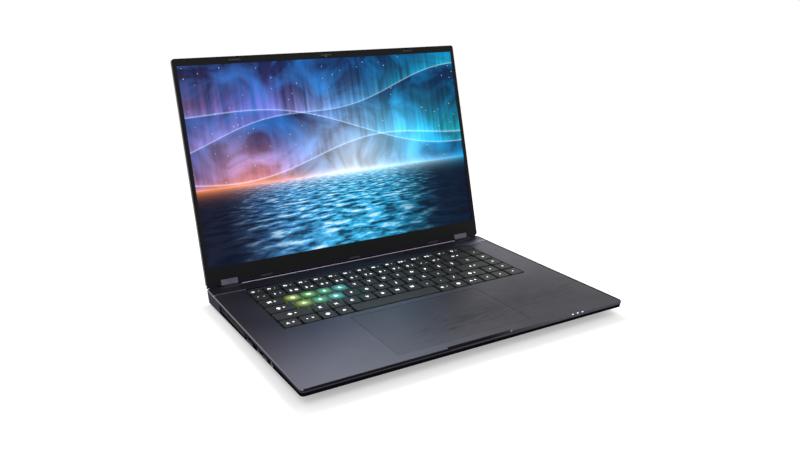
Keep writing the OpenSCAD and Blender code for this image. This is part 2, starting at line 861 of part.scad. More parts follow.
module mainboard() {
    color(board_green) at_base() {
        translate([0, 0, board_bottom_z]) linear_extrude(board_t) mainboard_outline();
        both_sides() block([chip_in, chip_y - chip_d / 2, board_bottom_z - chip_t],
                           [chip_out, chip_y + chip_d / 2, board_bottom_z + eps]);
        both_sides() translate([board_x - coil_in, board_mid_y - coil_in, board_top_z - eps])
            cube([coil, coil, coil_h]);
    }
}

module battery() {
    d = battery_rear - battery_front;
    color(black) at_base() translate([0, (battery_front + battery_rear) / 2, battery_bottom_z]) {
        for (i = [0:cell_count - 1]) translate([(i + 0.5) * cell_pitch - battery_w / 2, 0, 0])
            linear_extrude(battery_h) round_rect(cell_pitch - cell_gap, d, cell_r);
        translate([0, 0, frame_z]) linear_extrude(battery_frame_t)
            square([battery_w - cell_pitch / 2, d - 3 * cell_gap], center = true);
    }
}

// The outline of a fan housing: round, with one square corner between its two mouths
module fan_shell(inset, h) {
    r = fan_house_r - inset;
    linear_extrude(h) {
        circle(r);
        square(r);
    }
}

module fan_housings() {
    h = fan_top_z - fan_bottom_z;
    clear = h - 2 * fan_wall;
    color(dark) at_base() both_sides() translate([fan_x, fan_y, fan_bottom_z]) {
        difference() {
            fan_shell(0, h);
            translate([0, 0, fan_wall]) fan_shell(fan_wall, clear);
            translate([-fan_mouth, 0, fan_wall]) cube([fan_r, 2 * fan_r, clear]);
            translate([0, -fan_mouth, fan_wall]) cube([2 * fan_r, fan_r, clear]);
            translate([0, 0, -over]) cylinder(r = fan_inlet_r, h = fan_wall + 2 * over);
        }
        translate([0, 0, rotor_bottom_z - fan_bottom_z + shaft_end])
            cylinder(r = shaft_r, h = fan_top_z - rotor_bottom_z - shaft_end - fan_wall / 2);
    }
}

// A point on a swept blade, t from 0 at the hub to 1 at the tip, off by half the blade's thickness
function blade_point(t, half) =
    let (root = hub_r - blade_root, r = root + t * (fan_r - root))
    let (a = blade_sweep * t * t + half / r * 180 / PI)
    r * [cos(a), sin(a)];

module fan_blade() {
    polygon([
        for (t = [0:0.2:1.01]) blade_point(t, -blade_t / 2),
        for (t = [1:-0.2:-0.01]) blade_point(t, blade_t / 2)
    ]);
}

// An impeller: a hub that turns on the shaft, and its swept blades
module fan_rotor(side) {
    h = rotor_top_z - rotor_bottom_z;
    color(black) at_base() translate([side * fan_x, fan_y, rotor_bottom_z])
        mirror([side < 0 ? 1 : 0, 0, 0]) difference() {
            union() {
                cylinder(r = hub_r, h = h);
                for (i = [0:fan_blades - 1]) rotate([0, 0, i * 360 / fan_blades])
                    translate([0, 0, blade_in]) linear_extrude(h - 2 * blade_in) fan_blade();
            }
            translate([0, 0, shaft_end - shaft_play]) cylinder(r = shaft_r + shaft_play, h = h);
        }
}

// A stroke of constant width through a few points. The round joints are a hair narrower than the stroke, so
// that they cross its sides cleanly.
module stroke(points, w) {
    joint_r = w / 2 - 0.05;
    for (i = [0:len(points) - 2]) {
        a = points[i];
        b = points[i + 1];
        l = norm(b - a);
        translate(a) rotate(atan2(b[1] - a[1], b[0] - a[0])) translate([0, -w / 2]) square([l, w]);
        translate(b) circle(joint_r);
    }
    translate(points[0]) circle(joint_r);
}

// From each chip one pipe runs to the fins at the back and one to the fins at the side
module heat_pipes() {
    color(copper) at_base() translate([0, 0, pipe_top_z - pipe_t]) linear_extrude(pipe_t) both_sides() {
        stroke([
            [rear_vent_out - pipe_end, rear_run], [board_mid_x - 6, rear_run],
            [chip_x, rear_run - 22], [chip_x, chip_y - pipe_end]
        ], pipe_w);
        stroke([
            [chip_x + pipe_w + 1, chip_y - pipe_bend], [chip_x + 2 * pipe_w + 1, front_run],
            [side_run - pipe_bend, front_run], [side_run, front_run + pipe_bend], [side_run, vent_rear - 7]
        ], pipe_w);
    }
}

// A row of fins between two plates: length, depth, height
module fin_stack(l, d, h) {
    for (z = [0, h - fin_plate_t]) translate([0, 0, z]) cube([l, d, fin_plate_t]);
    for (x = [0:fin_pitch:l - fin_t]) translate([x, 0, 0]) cube([fin_t, d, h]);
}

module heat_sinks() {
    h = fan_top_z - pipe_top_z;
    color(copper) at_base() both_sides() {
        translate([rear_vent_in, rear_sink_y, pipe_top_z])
            fin_stack(rear_vent_out - rear_vent_in, rear_sink_d, h);
        translate([side_sink_x, vent_open + fin_pitch, pipe_top_z]) rotate([0, 0, 90])
            fin_stack(vent_rear - vent_open - 2 * fin_pitch, side_sink_d, h);
    }
}

module memory_modules() {
    color(board_green) at_base() for (y = memory_ys) translate([-memory_w / 2, y, card_z]) {
        cube([memory_w, memory_d, card_t]);
        translate([card_chip_in, card_chip_in, 0])
            cube([memory_w - 2 * card_chip_in, memory_d / 3, card_chip_t]);
    }
}

module ssd() {
    color(board_green) at_base() translate([-ssd_w / 2, ssd_y, card_z]) {
        cube([ssd_w, ssd_l, card_t]);
        for (i = [0:2]) translate([card_chip_in + 1, i * ssd_chip_pitch + 3 * card_chip_in, 0])
            cube([ssd_w - 2 * card_chip_in - 2, ssd_chip_l, card_chip_t]);
    }
}

module speakers() {
    color(black) at_base() both_sides() translate([speaker_x, speaker_y, inner_top_z - speaker_h]) {
        linear_extrude(speaker_h) round_rect(speaker_w, speaker_d, 3);
        translate([0, 0, -cone_h]) cylinder(r = cone_r, h = cone_h + eps);
    }
}

// ---------- hinges ----------

// One bracket: a plate under the deck and two ears that carry the pin
module hinge_brackets() {
    front = bracket_y - bracket_l;
    mid_z = inner_top_z - bracket_plate_t / 2;
    color(steel) at_base() both_sides() {
        block([ear_in, front, inner_top_z - bracket_plate_t], [ear_out + ear_t, bracket_y, inner_top_z]);
        for (x = [ear_in, ear_out]) difference() {
            union() {
                along_x(x, x + ear_t) polygon([
                    [front, mid_z], [front + 3, inner_top_z - 3.2], [hinge_y, hinge_z - ear_r],
                    [hinge_y, hinge_z], [bracket_y, mid_z]
                ]);
                translate([x, hinge_y, hinge_z]) rotate([0, 90, 0]) cylinder(r = ear_r, h = ear_t);
            }
            translate([x - over, hinge_y, hinge_z]) rotate([0, 90, 0])
                cylinder(r = pin_r + seat_gap, h = ear_t + 2 * over);
        }
    }
}

module hinge_pins() {
    color(steel) at_base() both_sides() translate([ear_in, hinge_y, hinge_z]) rotate([0, 90, 0])
        cylinder(r = pin_r, h = ear_out + ear_t - ear_in);
}

// The side view of an arm: a block that is rounded about the axis below the lid
module arm_profile() {
    front = face_y + 0.2;
    back = back_y - wall_gap;
    top = lid_bottom + arm_up;
    intersection() {
        polygon([
            [0, -spine_end], [back, -spine_end], [back, top],
            [front, top], [front, knuckle_r], [0, knuckle_r]
        ]);
        union() {
            circle(back);
            translate([0, lid_bottom - over]) square(big);
        }
    }
}

// The arm: a knuckle on the pin and a leaf that is fixed inside the lid
module hinge_arms() {
    leaf_back = back_y - lid_wall;
    color(steel) at_lid() both_sides() difference() {
        union() {
            rotate([0, 90, 0]) translate([0, 0, knuckle_in]) cylinder(r = knuckle_r, h = knuckle_w);
            along_x(knuckle_in, knuckle_out) arm_profile();
            block([knuckle_in - leaf_side, leaf_back - leaf_t, lid_bottom + lid_sill + 1],
                  [knuckle_out + leaf_side / 3, leaf_back, screen_bottom - panel_low - 1]);
        }
        rotate([0, 90, 0]) translate([0, 0, knuckle_in - over])
            cylinder(r = pin_r + pin_play, h = knuckle_w + 2 * over);
    }
}

// ---------- lid ----------

// The outline of the lid, inset, standing upright and y1 to y2 thick
module lid_slab(inset, y1, y2) {
    translate([0, y2, (lid_top + lid_bottom) / 2]) rotate([90, 0, 0])
        linear_extrude(y2 - y1) round_rect(lid_w - 2 * inset, lid_l - 2 * inset, lid_r - inset, $fn = 32);
}

// Everything of the lid's frame below a height
module below(z) {
    block([-big, -big, -big], [big, big, z]);
}

// The notches in the lower edge that the hinge arms pass through
module arm_notches() {
    both_sides() block([knuckle_in - ear_gap, 0, -big],
                       [knuckle_out + ear_gap, back_y + over, lid_bottom + arm_up + hinge_play]);
}

// The spine below the lid's edge, which hides the gap behind the deck
module lid_spine() {
    along_x(hinge_play - notch_out, notch_out - hinge_play) intersection() {
        circle(back_y);
        translate([spine_in, -spine_end]) square([lid_t, lid_bottom + spine_end + over]);
    }
}

module lid_cover() {
    color(slate) at_lid() difference() {
        union() {
            hull() {
                lid_slab(0, face_y, back_y - lid_bevel);
                lid_slab(lid_bevel, back_y - eps, back_y);
            }
            lid_spine();
        }
        difference() {
            lid_slab(lid_rim, face_y - over, back_y - lid_wall);
            below(lid_bottom + lid_sill);
        }
        arm_notches();
    }
}

module display_bezel() {
    color(black) at_lid() difference() {
        lid_slab(lid_rim + wall_gap, face_y, face_y + bezel_t);
        below(lid_bottom + lid_sill + wall_gap);
        block([-screen_w / 2, face_y - over, screen_bottom],
              [screen_w / 2, face_y + bezel_t + over, screen_top]);
        arm_notches();
        translate([0, face_y - over, lens_z]) rotate([-90, 0, 0])
            cylinder(r = lens_r + wall_gap, h = bezel_t + 2 * over);
    }
}

module display_panel() {
    color("#102040") at_lid() block(
        [-screen_w / 2 - panel_side, face_y + bezel_t + seat_gap, screen_bottom - panel_low],
        [screen_w / 2 + panel_side, face_y + bezel_t + panel_t, panel_top]
    );
}

// The lens in its hole and the narrow board behind it
module camera_module() {
    color(black) at_lid() {
        translate([0, face_y + wall_gap, lens_z]) rotate([-90, 0, 0])
            cylinder(r = lens_r, h = bezel_t + camera_t / 3);
        block([-camera_w / 2, face_y + bezel_t + seat_gap, panel_top + 2 * wall_gap],
              [camera_w / 2, face_y + bezel_t + camera_t, lid_top - lid_rim - 2 * wall_gap]);
    }
}

module lid_bumpers() {
    color(black) at_lid() for (x = bumper_xs, z = [lid_top - bumper_in, lid_bottom + bumper_low])
        translate([x, face_y - seat_gap, z]) rotate([90, 0, 0])
            linear_extrude(lid_gap - strip_h - wall_gap) round_rect(bumper_w, bumper_d, 0.7);
}

// ---------- sockets and vents ----------

// A socket shell with its mouth towards -X, from x = 0 inwards
module socket(w, h, rim, depth) {
    difference() {
        block([0, -w / 2, 0], [socket_l, w / 2, h]);
        block([-over, -w / 2 + rim, rim], [depth, w / 2 - rim, h - rim]);
    }
}

// The tongue in a socket, which starts behind the mouth and is held by the socket's back
module tongue(w, low, high) {
    block([1, -w / 2, low], [socket_mouth + 0.5, w / 2, high]);
}

// A network socket with its eight spring contacts
module ethernet_port() {
    color(black) at_base() translate([-side_socket_x, ethernet_y, board_top_z]) {
        socket(ethernet_w, ethernet_h, 0.9, 12);
        for (i = [-3.5:3.5]) translate([4, i * 1.02 - 0.2, ethernet_h - 1.2]) cube([8.5, 0.4, 0.3]);
    }
}

module usb_a() {
    socket(usb_a_w, usb_a_h, 0.5, socket_mouth);
    tongue(usb_a_w - 2, usb_a_h - 2.6, usb_a_h - 0.9);
}

module usb_a_ports() {
    color(steel) at_base() {
        translate([-side_socket_x, usb_a_left_y, board_top_z]) usb_a();
        for (y = usb_a_right_ys) mirror([1, 0, 0]) translate([-side_socket_x, y, board_top_z]) usb_a();
    }
}

// An oval shell with a flat tongue, on a square block
module usb_c_port() {
    shell = 0.35;
    shell_l = 9;
    color(steel) at_base() translate([-side_socket_x, usb_c_y, board_top_z + usb_c_up]) {
        rotate([90, 0, 90]) linear_extrude(shell_l) translate([0, usb_c_h / 2]) difference() {
            round_rect(usb_c_w, usb_c_h, usb_c_h / 2 - 0.05);
            round_rect(usb_c_w - 2 * shell, usb_c_h - 2 * shell, usb_c_h / 2 - shell - 0.05);
        }
        block([1, 1.2 - usb_c_w / 2, usb_c_h / 2 - shell],
              [shell_l, usb_c_w / 2 - 1.2, usb_c_h / 2 + shell]);
        block([shell_l - over, -usb_c_w / 2, -usb_c_up], [socket_l, usb_c_w / 2, usb_c_h]);
    }
}

module audio_jack() {
    color(black) at_base() translate([-side_socket_x, audio_y, board_top_z + jack_up]) difference() {
        union() {
            rotate([0, 90, 0]) cylinder(r = jack_ring_r, h = jack_ring_l);
            block([jack_ring_l - 2, -jack_ring_r, -jack_up], [socket_l, jack_ring_r, jack_ring_r]);
        }
        translate([-over, 0, 0]) rotate([0, 90, 0]) cylinder(r = jack_r, h = socket_l - over);
    }
}

// A socket in the back wall with its mouth backwards
module rear_socket(x, w, tongue_w) {
    translate([x, rear_socket_y, rear_socket_z]) rotate([0, 0, -90]) {
        socket(w, rear_socket_h, 0.5, socket_mouth);
        tongue(tongue_w, rear_socket_h / 2 - 0.5, rear_socket_h / 2 + 0.5);
    }
}

module hdmi_port() {
    color(steel) at_base() rear_socket(-rear_socket_x, hdmi_w, hdmi_w - 4);
}

module power_socket() {
    color(black) at_base() rear_socket(rear_socket_x, power_w, 2);
}

// Upright slats in a frame. In front they stand on a closed back, where there is nothing to cool.
module side_grilles() {
    outer = side_x - vent_in;
    inner = outer - vent_t;
    low = vent_top_z - vent_h;
    color(dark) at_base() both_sides() {
        difference() {
            block([inner, vent_front, low], [outer, vent_rear, vent_top_z]);
            block([inner - over, vent_front + frame_side, low + frame_end],
                  [outer + over, vent_rear - frame_side, vent_top_z - frame_end]);
        }
        block([inner, vent_front, low], [inner + slat_back, vent_open, vent_top_z]);
        for (y = [vent_front + slat_pitch:slat_pitch:vent_rear - 2 * frame_side])
            block([inner, y, low], [outer, y + slat_t, vent_top_z]);
    }
}

module rear_grilles() {
    outer = recess_y - wall_gap * 2;
    inner = outer - vent_t;
    low = rear_vent_top_z - rear_vent_h;
    color(dark) at_base() both_sides() {
        difference() {
            block([rear_vent_in, inner, low], [rear_vent_out, outer, rear_vent_top_z]);
            block([rear_vent_in + frame_side, inner - over, low + frame_end],
                  [rear_vent_out - frame_side, outer + over, rear_vent_top_z - frame_end]);
        }
        for (x = [rear_vent_in + slat_pitch:slat_pitch:rear_vent_out - 2 * frame_side])
            block([x, inner, low], [x + slat_t, outer, rear_vent_top_z]);
    }
}

module status_lights() {
    color("white") at_base() for (x = light_xs) light_bar(x, 0);
}

// ---------- the part ----------

top_case();
bottom_cover();
bottom_screws();
rubber_feet();
keyboard_plate();
touchpad_bracket();
mainboard();
battery();
fan_housings();
heat_pipes();
heat_sinks();
memory_modules();
ssd();
speakers();
hinge_brackets();
hinge_pins();
ethernet_port();
usb_a_ports();
usb_c_port();
audio_jack();
hdmi_port();
power_socket();
side_grilles();
rear_grilles();
status_lights();
fan_rotor(-1);  // left_fan_rotor
fan_rotor(1);  // right_fan_rotor
touchpad();
keys(0, 15, 15);  // power_button
lid_cover();
display_bezel();
display_panel();
camera_module();
lid_bumpers();
hinge_arms();
keys(0, 0, 14);  // function_keys
keys(1, 0, 12);  // number_keys
keys(1, 13, 13);  // backspace_key
keys(2, 0, 0);  // tab_key
keys(2, 1, 1);  // q_key
keys(2, 2, 2);  // w_key
keys(2, 3, 3);  // e_key
keys(2, 4, 4);  // r_key
keys(2, 5, 13);  // upper_letter_keys
keys(3, 0, 0);  // caps_lock_key
keys(3, 1, 1);  // a_key
keys(3, 2, 2);  // s_key
keys(3, 3, 3);  // d_key
keys(3, 4, 11);  // home_letter_keys
keys(3, 12, 12);  // enter_key
keys(4, 0, 0);  // left_shift_key
keys(4, 1, 10);  // lower_letter_keys
keys(4, 11, 11);  // right_shift_key
modifier_keys();
keys(5, 4, 4);  // space_bar
side_column_keys();
keys(4, 12, 12);  // up_arrow_key
keys(5, 8, 8);  // left_arrow_key
keys(5, 9, 9);  // down_arrow_key
keys(5, 10, 10);  // right_arrow_key
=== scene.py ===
"""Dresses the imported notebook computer: finishes for every part, legends, lights, picture, studio."""

from __future__ import annotations

import json
import logging
import math
from dataclasses import dataclass, replace
from enum import Enum
from functools import partialmethod
from typing import Sequence, Union

import bmesh
import bpy
from mathutils import Matrix, Vector


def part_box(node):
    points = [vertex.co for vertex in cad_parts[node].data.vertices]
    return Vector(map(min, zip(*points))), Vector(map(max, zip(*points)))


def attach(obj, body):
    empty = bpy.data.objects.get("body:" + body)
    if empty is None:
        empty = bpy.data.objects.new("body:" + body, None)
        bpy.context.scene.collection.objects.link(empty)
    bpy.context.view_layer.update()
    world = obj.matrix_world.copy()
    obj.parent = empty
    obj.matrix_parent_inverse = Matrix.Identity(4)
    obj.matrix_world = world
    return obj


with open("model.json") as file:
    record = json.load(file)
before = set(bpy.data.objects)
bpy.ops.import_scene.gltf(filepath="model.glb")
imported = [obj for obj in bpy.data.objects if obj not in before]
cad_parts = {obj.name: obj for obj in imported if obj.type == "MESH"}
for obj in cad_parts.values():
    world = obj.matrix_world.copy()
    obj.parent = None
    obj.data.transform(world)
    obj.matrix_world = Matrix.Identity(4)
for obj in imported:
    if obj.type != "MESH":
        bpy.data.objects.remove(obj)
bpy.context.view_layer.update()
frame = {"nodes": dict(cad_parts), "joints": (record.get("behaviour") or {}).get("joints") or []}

log = logging.getLogger("notebook")

MM = 0.001
LID_LEAN = math.radians(14.9)
LIP_HEIGHT = 0.25 * MM
GRILLE_TO_DECK = 6.4 * MM
WELD_WITHIN = 1e-6
MERGE_WITHIN = 1e-7
SIGN_DEPTH = 0.02 * MM
ROD_SIDES = 24
SOFT_ANGLE = math.radians(30)
SMOOTH_ANGLE = math.radians(35)
ORIGIN = (0.0, 0.0, 0.0)
BLACK = (0.0, 0.0, 0.0)
WHITE = (1.0, 1.0, 1.0)

Socket = bpy.types.NodeSocket
Colour = tuple[float, float, float]
Point = tuple[float, float, float]
Span = tuple[float, float]
Stops = tuple[tuple[float, Colour], ...]
Plug = Union[Socket, float, Sequence[float]]


# ---------- places, all from the frame ----------


class Places:
    """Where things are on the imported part, in metres, read from the nodes' boxes and the lid's joint."""

    def __init__(self) -> None:
        """Reads the boxes that the sub-assemblies need."""
        hinge = next(joint for joint in frame["joints"] if joint["name"] == "lid_hinge")
        self.hinge = Vector(hinge["pos_m"])
        self.case_low, self.case_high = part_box("top_case")
        self.strip_z = self.case_high.z - LIP_HEIGHT
        self.deck_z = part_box("rear_grilles")[1].z + GRILLE_TO_DECK
        self.centre_y = (self.case_low.y + self.case_high.y) / 2

    def lid_matrix(self) -> Matrix:
        """The matrix from the lid's own frame (x right, y into the lid, z up it) to the part's."""
        return Matrix.Translation(self.hinge) @ Matrix.Rotation(-LID_LEAN, 4, "X")

    def lid_out(self) -> Point:
        """The direction that the back of the lid faces."""
        return (0.0, math.cos(LID_LEAN), -math.sin(LID_LEAN))


# ---------- node graphs ----------


class Graph:
    """A node tree that is wired up by calls."""

    def __init__(self, tree: bpy.types.NodeTree) -> None:
        """Takes the tree to fill: a material's, a world's or a group's."""
        self.tree = tree

    def plug(self, socket: Socket, value: Plug) -> None:
        """Links a socket to an output, or sets its value."""
        if isinstance(value, Socket):
            self.tree.links.new(value, socket)
        elif socket.type == "RGBA" and len(value) == 3:
            socket.default_value = (*value, 1.0)
        else:
            socket.default_value = value

    def node(self, kind: str, inputs: dict[str, Plug] | None = None, **settings: object) -> bpy.types.Node:
        """Adds a node.

        Args:
            kind: the node's type name.
            inputs: values or outputs for its sockets, by socket name.
            settings: values for the node's own properties.

        Returns:
            The new node.
        """
        made = self.tree.nodes.new(kind)
        for name, value in settings.items():
            setattr(made, name, value)
        for name, value in (inputs or {}).items():
            self.plug(made.inputs[name], value)
        return made

    def group(self, tree: bpy.types.NodeTree, inputs: dict[str, Plug]) -> bpy.types.Node:
        """Places a shared group with its own values."""
        return self.node("ShaderNodeGroup", inputs, node_tree=tree)

    def fill(self, kind: str, *values: Plug, **settings: object) -> bpy.types.NodeOutputs:
        """The outputs of a new node whose first sockets take values in order."""
        made = self.node(kind, **settings)
        for socket, value in zip(made.inputs, values):
            self.plug(socket, value)
        return made.outputs

    def math(self, operation: str, *values: Plug) -> Socket:
        """A Math node's result."""
        return self.fill("ShaderNodeMath", *values, operation=operation)[0]

    # Each takes two values. The last two give 1 where the first is larger or smaller, and else 0.
    plus = partialmethod(math, "ADD")
    minus = partialmethod(math, "SUBTRACT")
    times = partialmethod(math, "MULTIPLY")
    over = partialmethod(math, "DIVIDE")
    least = partialmethod(math, "MINIMUM")
    most = partialmethod(math, "MAXIMUM")
    above = partialmethod(math, "GREATER_THAN")
    under = partialmethod(math, "LESS_THAN")

    def between(self, value: Plug, low: float, high: float) -> Socket:
        """1 where a value lies between two others, and else 0."""
        return self.times(self.above(value, low), self.under(value, high))

    def off(self, value: Plug, centre: float) -> Socket:
        """How far a value is from a centre."""
        return self.math("ABSOLUTE", self.minus(value, centre))

    def decay(self, value: Plug) -> Socket:
        """A value's falling exponential."""
        return self.math("EXPONENT", self.times(value, -1.0))

    def vector(self, operation: str, *values: Plug, output: str = "Vector") -> Socket:
        """A Vector Math node's vector or value."""
        return self.fill("ShaderNodeVectorMath", *values, operation=operation)[output]

    dot = partialmethod(vector, "DOT_PRODUCT", output="Value")
    length = partialmethod(vector, "LENGTH", output="Value")

    def mix(self, share: Plug, first: Plug, second: Plug, blend: str = "MIX") -> Socket:
        """Two colours mixed by a share from 0 to 1."""
        made = self.node("ShaderNodeMix", data_type="RGBA", blend_type=blend)
        for index, value in ((0, share), (6, first), (7, second)):
            self.plug(made.inputs[index], value)
        return made.outputs[2]

    def ramp(self, value: Plug, stops: Stops) -> Socket:
        """A colour ramp's colour.

        Args:
            value: the place on the ramp.
            stops: places and colours, in order.

        Returns:
            The colour output.
        """
        made = self.node("ShaderNodeValToRGB", {"Fac": value})
        points = made.color_ramp.elements
        while len(points) < len(stops):
            points.new(0.5)
        for point, (place, colour) in zip(points, stops):
            point.position = place
            point.color = (*colour, 1.0)
        return made.outputs["Color"]

    def range(self, value: Plug, low: float, high: float, to_low: float = 0.0, to_high: float = 1.0) -> Socket:
        """A value mapped from one range to another and kept inside it."""
        return self.fill("ShaderNodeMapRange", value, low, high, to_low, to_high)[0]

    def noise(self, vector: Plug, scale: Plug, detail: float, **more: float) -> Socket:
        """Noise from 0 to 1."""
        values = {"Vector": vector, "Scale": scale, "Detail": detail, **more}
        return self.node("ShaderNodeTexNoise", values).outputs["Fac"]

    def turned(self, vector: Plug, origin: Point, rotation: Point) -> Socket:
        """A vector in a frame that is moved and turned."""
        values = {"Vector": vector, "Location": origin, "Rotation": rotation}
        return self.node("ShaderNodeMapping", values, vector_type="TEXTURE").outputs[0]

    def place(self) -> Socket:
        """The point's place in the part's frame at rest."""
        return self.fill("ShaderNodeTexCoord")["Object"]

    def facing(self) -> Socket:
        """The way that the surface faces, in the part's frame at rest."""
        return self.fill("ShaderNodeTexCoord")["Normal"]

    def axes(self, vector: Plug) -> list[Socket]:
        """X, Y and Z of a vector."""
        return list(self.fill("ShaderNodeSeparateXYZ", vector))

    def join(self, x: Plug, y: Plug) -> Socket:
        """A flat vector of X and Y."""
        return self.fill("ShaderNodeCombineXYZ", x, y)[0]


class Group(Graph):
    """A shader node group under construction."""

    def __init__(self, name: str, inputs: dict[str, float | Point], outputs: Sequence[str]) -> None:
        """Starts the group.

        Args:
            name: the group's name.
            inputs: default values by name, where three numbers make a vector.
            outputs: the names of its outputs, which are numbers.
        """
        super().__init__(bpy.data.node_groups.new(name, "ShaderNodeTree"))
        for title, value in inputs.items():
            kind = "NodeSocketVector" if isinstance(value, tuple) else "NodeSocketFloat"
            self.tree.interface.new_socket(title, in_out="INPUT", socket_type=kind).default_value = value
        for title in outputs:
            self.tree.interface.new_socket(title, in_out="OUTPUT", socket_type="NodeSocketFloat")
        self.into = {socket.name: socket for socket in self.node("NodeGroupInput").outputs}
        self.out = {socket.name: socket for socket in self.node("NodeGroupOutput").inputs}


class Effects:
    """The shared node groups, each built once."""

    def __init__(self) -> None:
        """Builds the groups."""
        self.grain = self._grain()
        self.glow = self._glow()
        self.ribbon = self._ribbon()

    @staticmethod
    def _grain() -> bpy.types.NodeTree:
        """Fine grain with slow mottling: a height for bump and a 0 to 1 mottle."""
        made = Group("surface_grain", {"Vector": ORIGIN, "Grain": 0.3 * MM, "Mottle Size": 12 * MM},
                     ("Height", "Mottle"))
        fine, cloud = (made.noise(made.into["Vector"], made.over(1.0, made.into[size]), detail)
                       for size, detail in (("Grain", 2.0), ("Mottle Size", 4.0)))
        made.plug(made.out["Height"], fine)
        made.plug(made.out["Mottle"], made.range(cloud, 0.35, 0.65))
        return made.tree

    @staticmethod
    def _glow() -> bpy.types.NodeTree:
        """Light that fades from 1 at a centre to 0 at a reach, stretched by a shape."""
        made = Group("radial_glow", {"Vector": ORIGIN, "Centre": ORIGIN, "Shape": (1.0, 1.0, 1.0),
                                     "Reach": 10 * MM, "Sharpness": 2.0}, ("Glow",))
        away = made.vector("SUBTRACT", made.into["Vector"], made.into["Centre"])
        length = made.length(made.vector("MULTIPLY", away, made.into["Shape"]))
        near = made.most(made.minus(1.0, made.over(length, made.into["Reach"])), 0.0)
        made.plug(made.out["Glow"], made.math("POWER", near, made.into["Sharpness"]))
        return made.tree

    @staticmethod
    def _ribbon() -> bpy.types.NodeTree:
        """A curtain of light along a wave: bright on its line, with a long fade above it."""
        made = Group("light_ribbon", {"Vector": ORIGIN, "Level": 0.0, "Slope": 0.0, "Swing": 0.1, "Turns": 6.0,
                                      "Shift": 0.0, "Width": 0.01, "Veil": 0.2}, ("Line", "Veil"))
        into = made.into
        across, up, _ = made.axes(into["Vector"])
        wave = made.math("SINE", made.plus(made.times(across, into["Turns"]), into["Shift"]))
        path = made.plus(into["Level"], made.times(wave, into["Swing"]))
        height = made.minus(up, made.plus(path, made.times(across, into["Slope"])))
        near = made.over(made.off(height, 0.0), into["Width"])
        made.plug(made.out["Line"], made.decay(near))
        fade = made.decay(made.over(made.most(height, 0.0), into["Veil"]))
        rays = made.noise(made.vector("MULTIPLY", into["Vector"], (70.0, 3.0, 0.0)), 1.0, 2.0)
        shown = made.times(made.above(height, 0.0), made.range(rays, 0.3, 0.7, 0.15, 1.0))
        made.plug(made.out["Veil"], made.times(fade, shown))
        return made.tree


class Surface(Graph):
    """A material and its graph, with the look that its finish has worked out so far."""

    def __init__(self, name: str, effects: Effects) -> None:
        """Starts a material.

        Args:
            name: the material's name.
            effects: the shared node groups.
        """
        self.material = bpy.data.materials.new(name)
        self.material.use_nodes = True
        super().__init__(self.material.node_tree)
        self.effects = effects
        self.shader = self.tree.nodes["Principled BSDF"]
        self.inputs = self.shader.inputs
        self.where = self.place()
        self.colour: Plug = BLACK
        self.rough: Plug = 0.5
        self.height: Plug = 0.0

    def paint(self, share: Plug, colour: Plug) -> None:
        """Paints a share of the surface in a colour."""
        self.colour = self.mix(share, self.colour, colour)

    def emit(self, colour: Plug, strength: float) -> None:
        """Makes the surface shine in a colour."""
        self.plug(self.inputs["Emission Color"], colour)
        self.inputs["Emission Strength"].default_value = strength

    def glow(self, vector: Plug, centre: Point, shape: Point, reach: float, sharpness: float) -> Socket:
        """A share that fades from 1 at a centre to 0 at a reach, sooner along the axes that a shape stretches."""
        values = {"Vector": vector, "Centre": centre, "Shape": shape, "Reach": reach, "Sharpness": sharpness}
        return self.group(self.effects.glow, values).outputs["Glow"]


# ---------- finishes ----------


@dataclass(frozen=True)
class Finish:
    """A plain finish: moulded plastic, rubber, foil or metal, with grain, mottling and uneven gloss."""

    name: str
    colour: Colour
    shade: Colour
    roughness: float
    metallic: float = 0.0
    grain: float = 0.3 * MM
    depth: float = 0.02 * MM
    mottle: float = 14 * MM
    gloss_spread: float = 0.08
    coat: float = 0.0
    specular: float = 0.5

    def material(self, effects: Effects) -> bpy.types.Material:
        """Builds the finish as a material.

        Args:
            effects: the shared node groups.

        Returns:
            The material.
        """
        on = Surface(self.name, effects)
        on.inputs["Metallic"].default_value = self.metallic
        on.inputs["Coat Weight"].default_value = self.coat
        on.inputs["Specular IOR Level"].default_value = self.specular
        grain = on.group(effects.grain, {"Vector": on.where, "Grain": self.grain, "Mottle Size": self.mottle})
        mottle, on.height = grain.outputs["Mottle"], grain.outputs["Height"]
        on.colour = on.mix(mottle, self.colour, self.shade)
        on.rough = on.range(mottle, 0.0, 1.0, self.roughness - self.gloss_spread, self.roughness + self.gloss_spread)
        self.detail(on)
        bump = on.node("ShaderNodeBump", {"Height": on.height, "Distance": self.depth, "Strength": 1.0})
        for name, value in (("Base Color", on.colour), ("Roughness", on.rough), ("Normal", bump.outputs["Normal"])):
            on.plug(on.inputs[name], value)
        self.light(on)
        return on.material

    def detail(self, on: Surface) -> None:
        """Adds what is special to a finish; the plain one adds nothing."""

    def light(self, on: Surface) -> None:
        """Adds emission; the plain finish has none."""


@dataclass(frozen=True)
class RibbedFinish(Finish):
    """A finish with fine parallel ribs, for rubber feet and knurled or brushed metal."""

    pitch: float = 0.8 * MM
    across: Point = (1.0, 0.0, 0.0)
    rib_height: float = 4.0

    def detail(self, on: Surface) -> None:
        """Adds the ribs to the height, and painted shade in the grooves between them."""
        wave = on.math("SINE", on.times(on.dot(on.where, self.across), 2 * math.pi / self.pitch))
        rib = on.range(wave, -1.0, 1.0)
        # Painted shade in the grooves between the ribs.
        on.paint(on.range(rib, 0.0, 0.6, 0.35, 0.0), BLACK)
        on.height = on.plus(on.times(rib, self.rib_height), on.height)


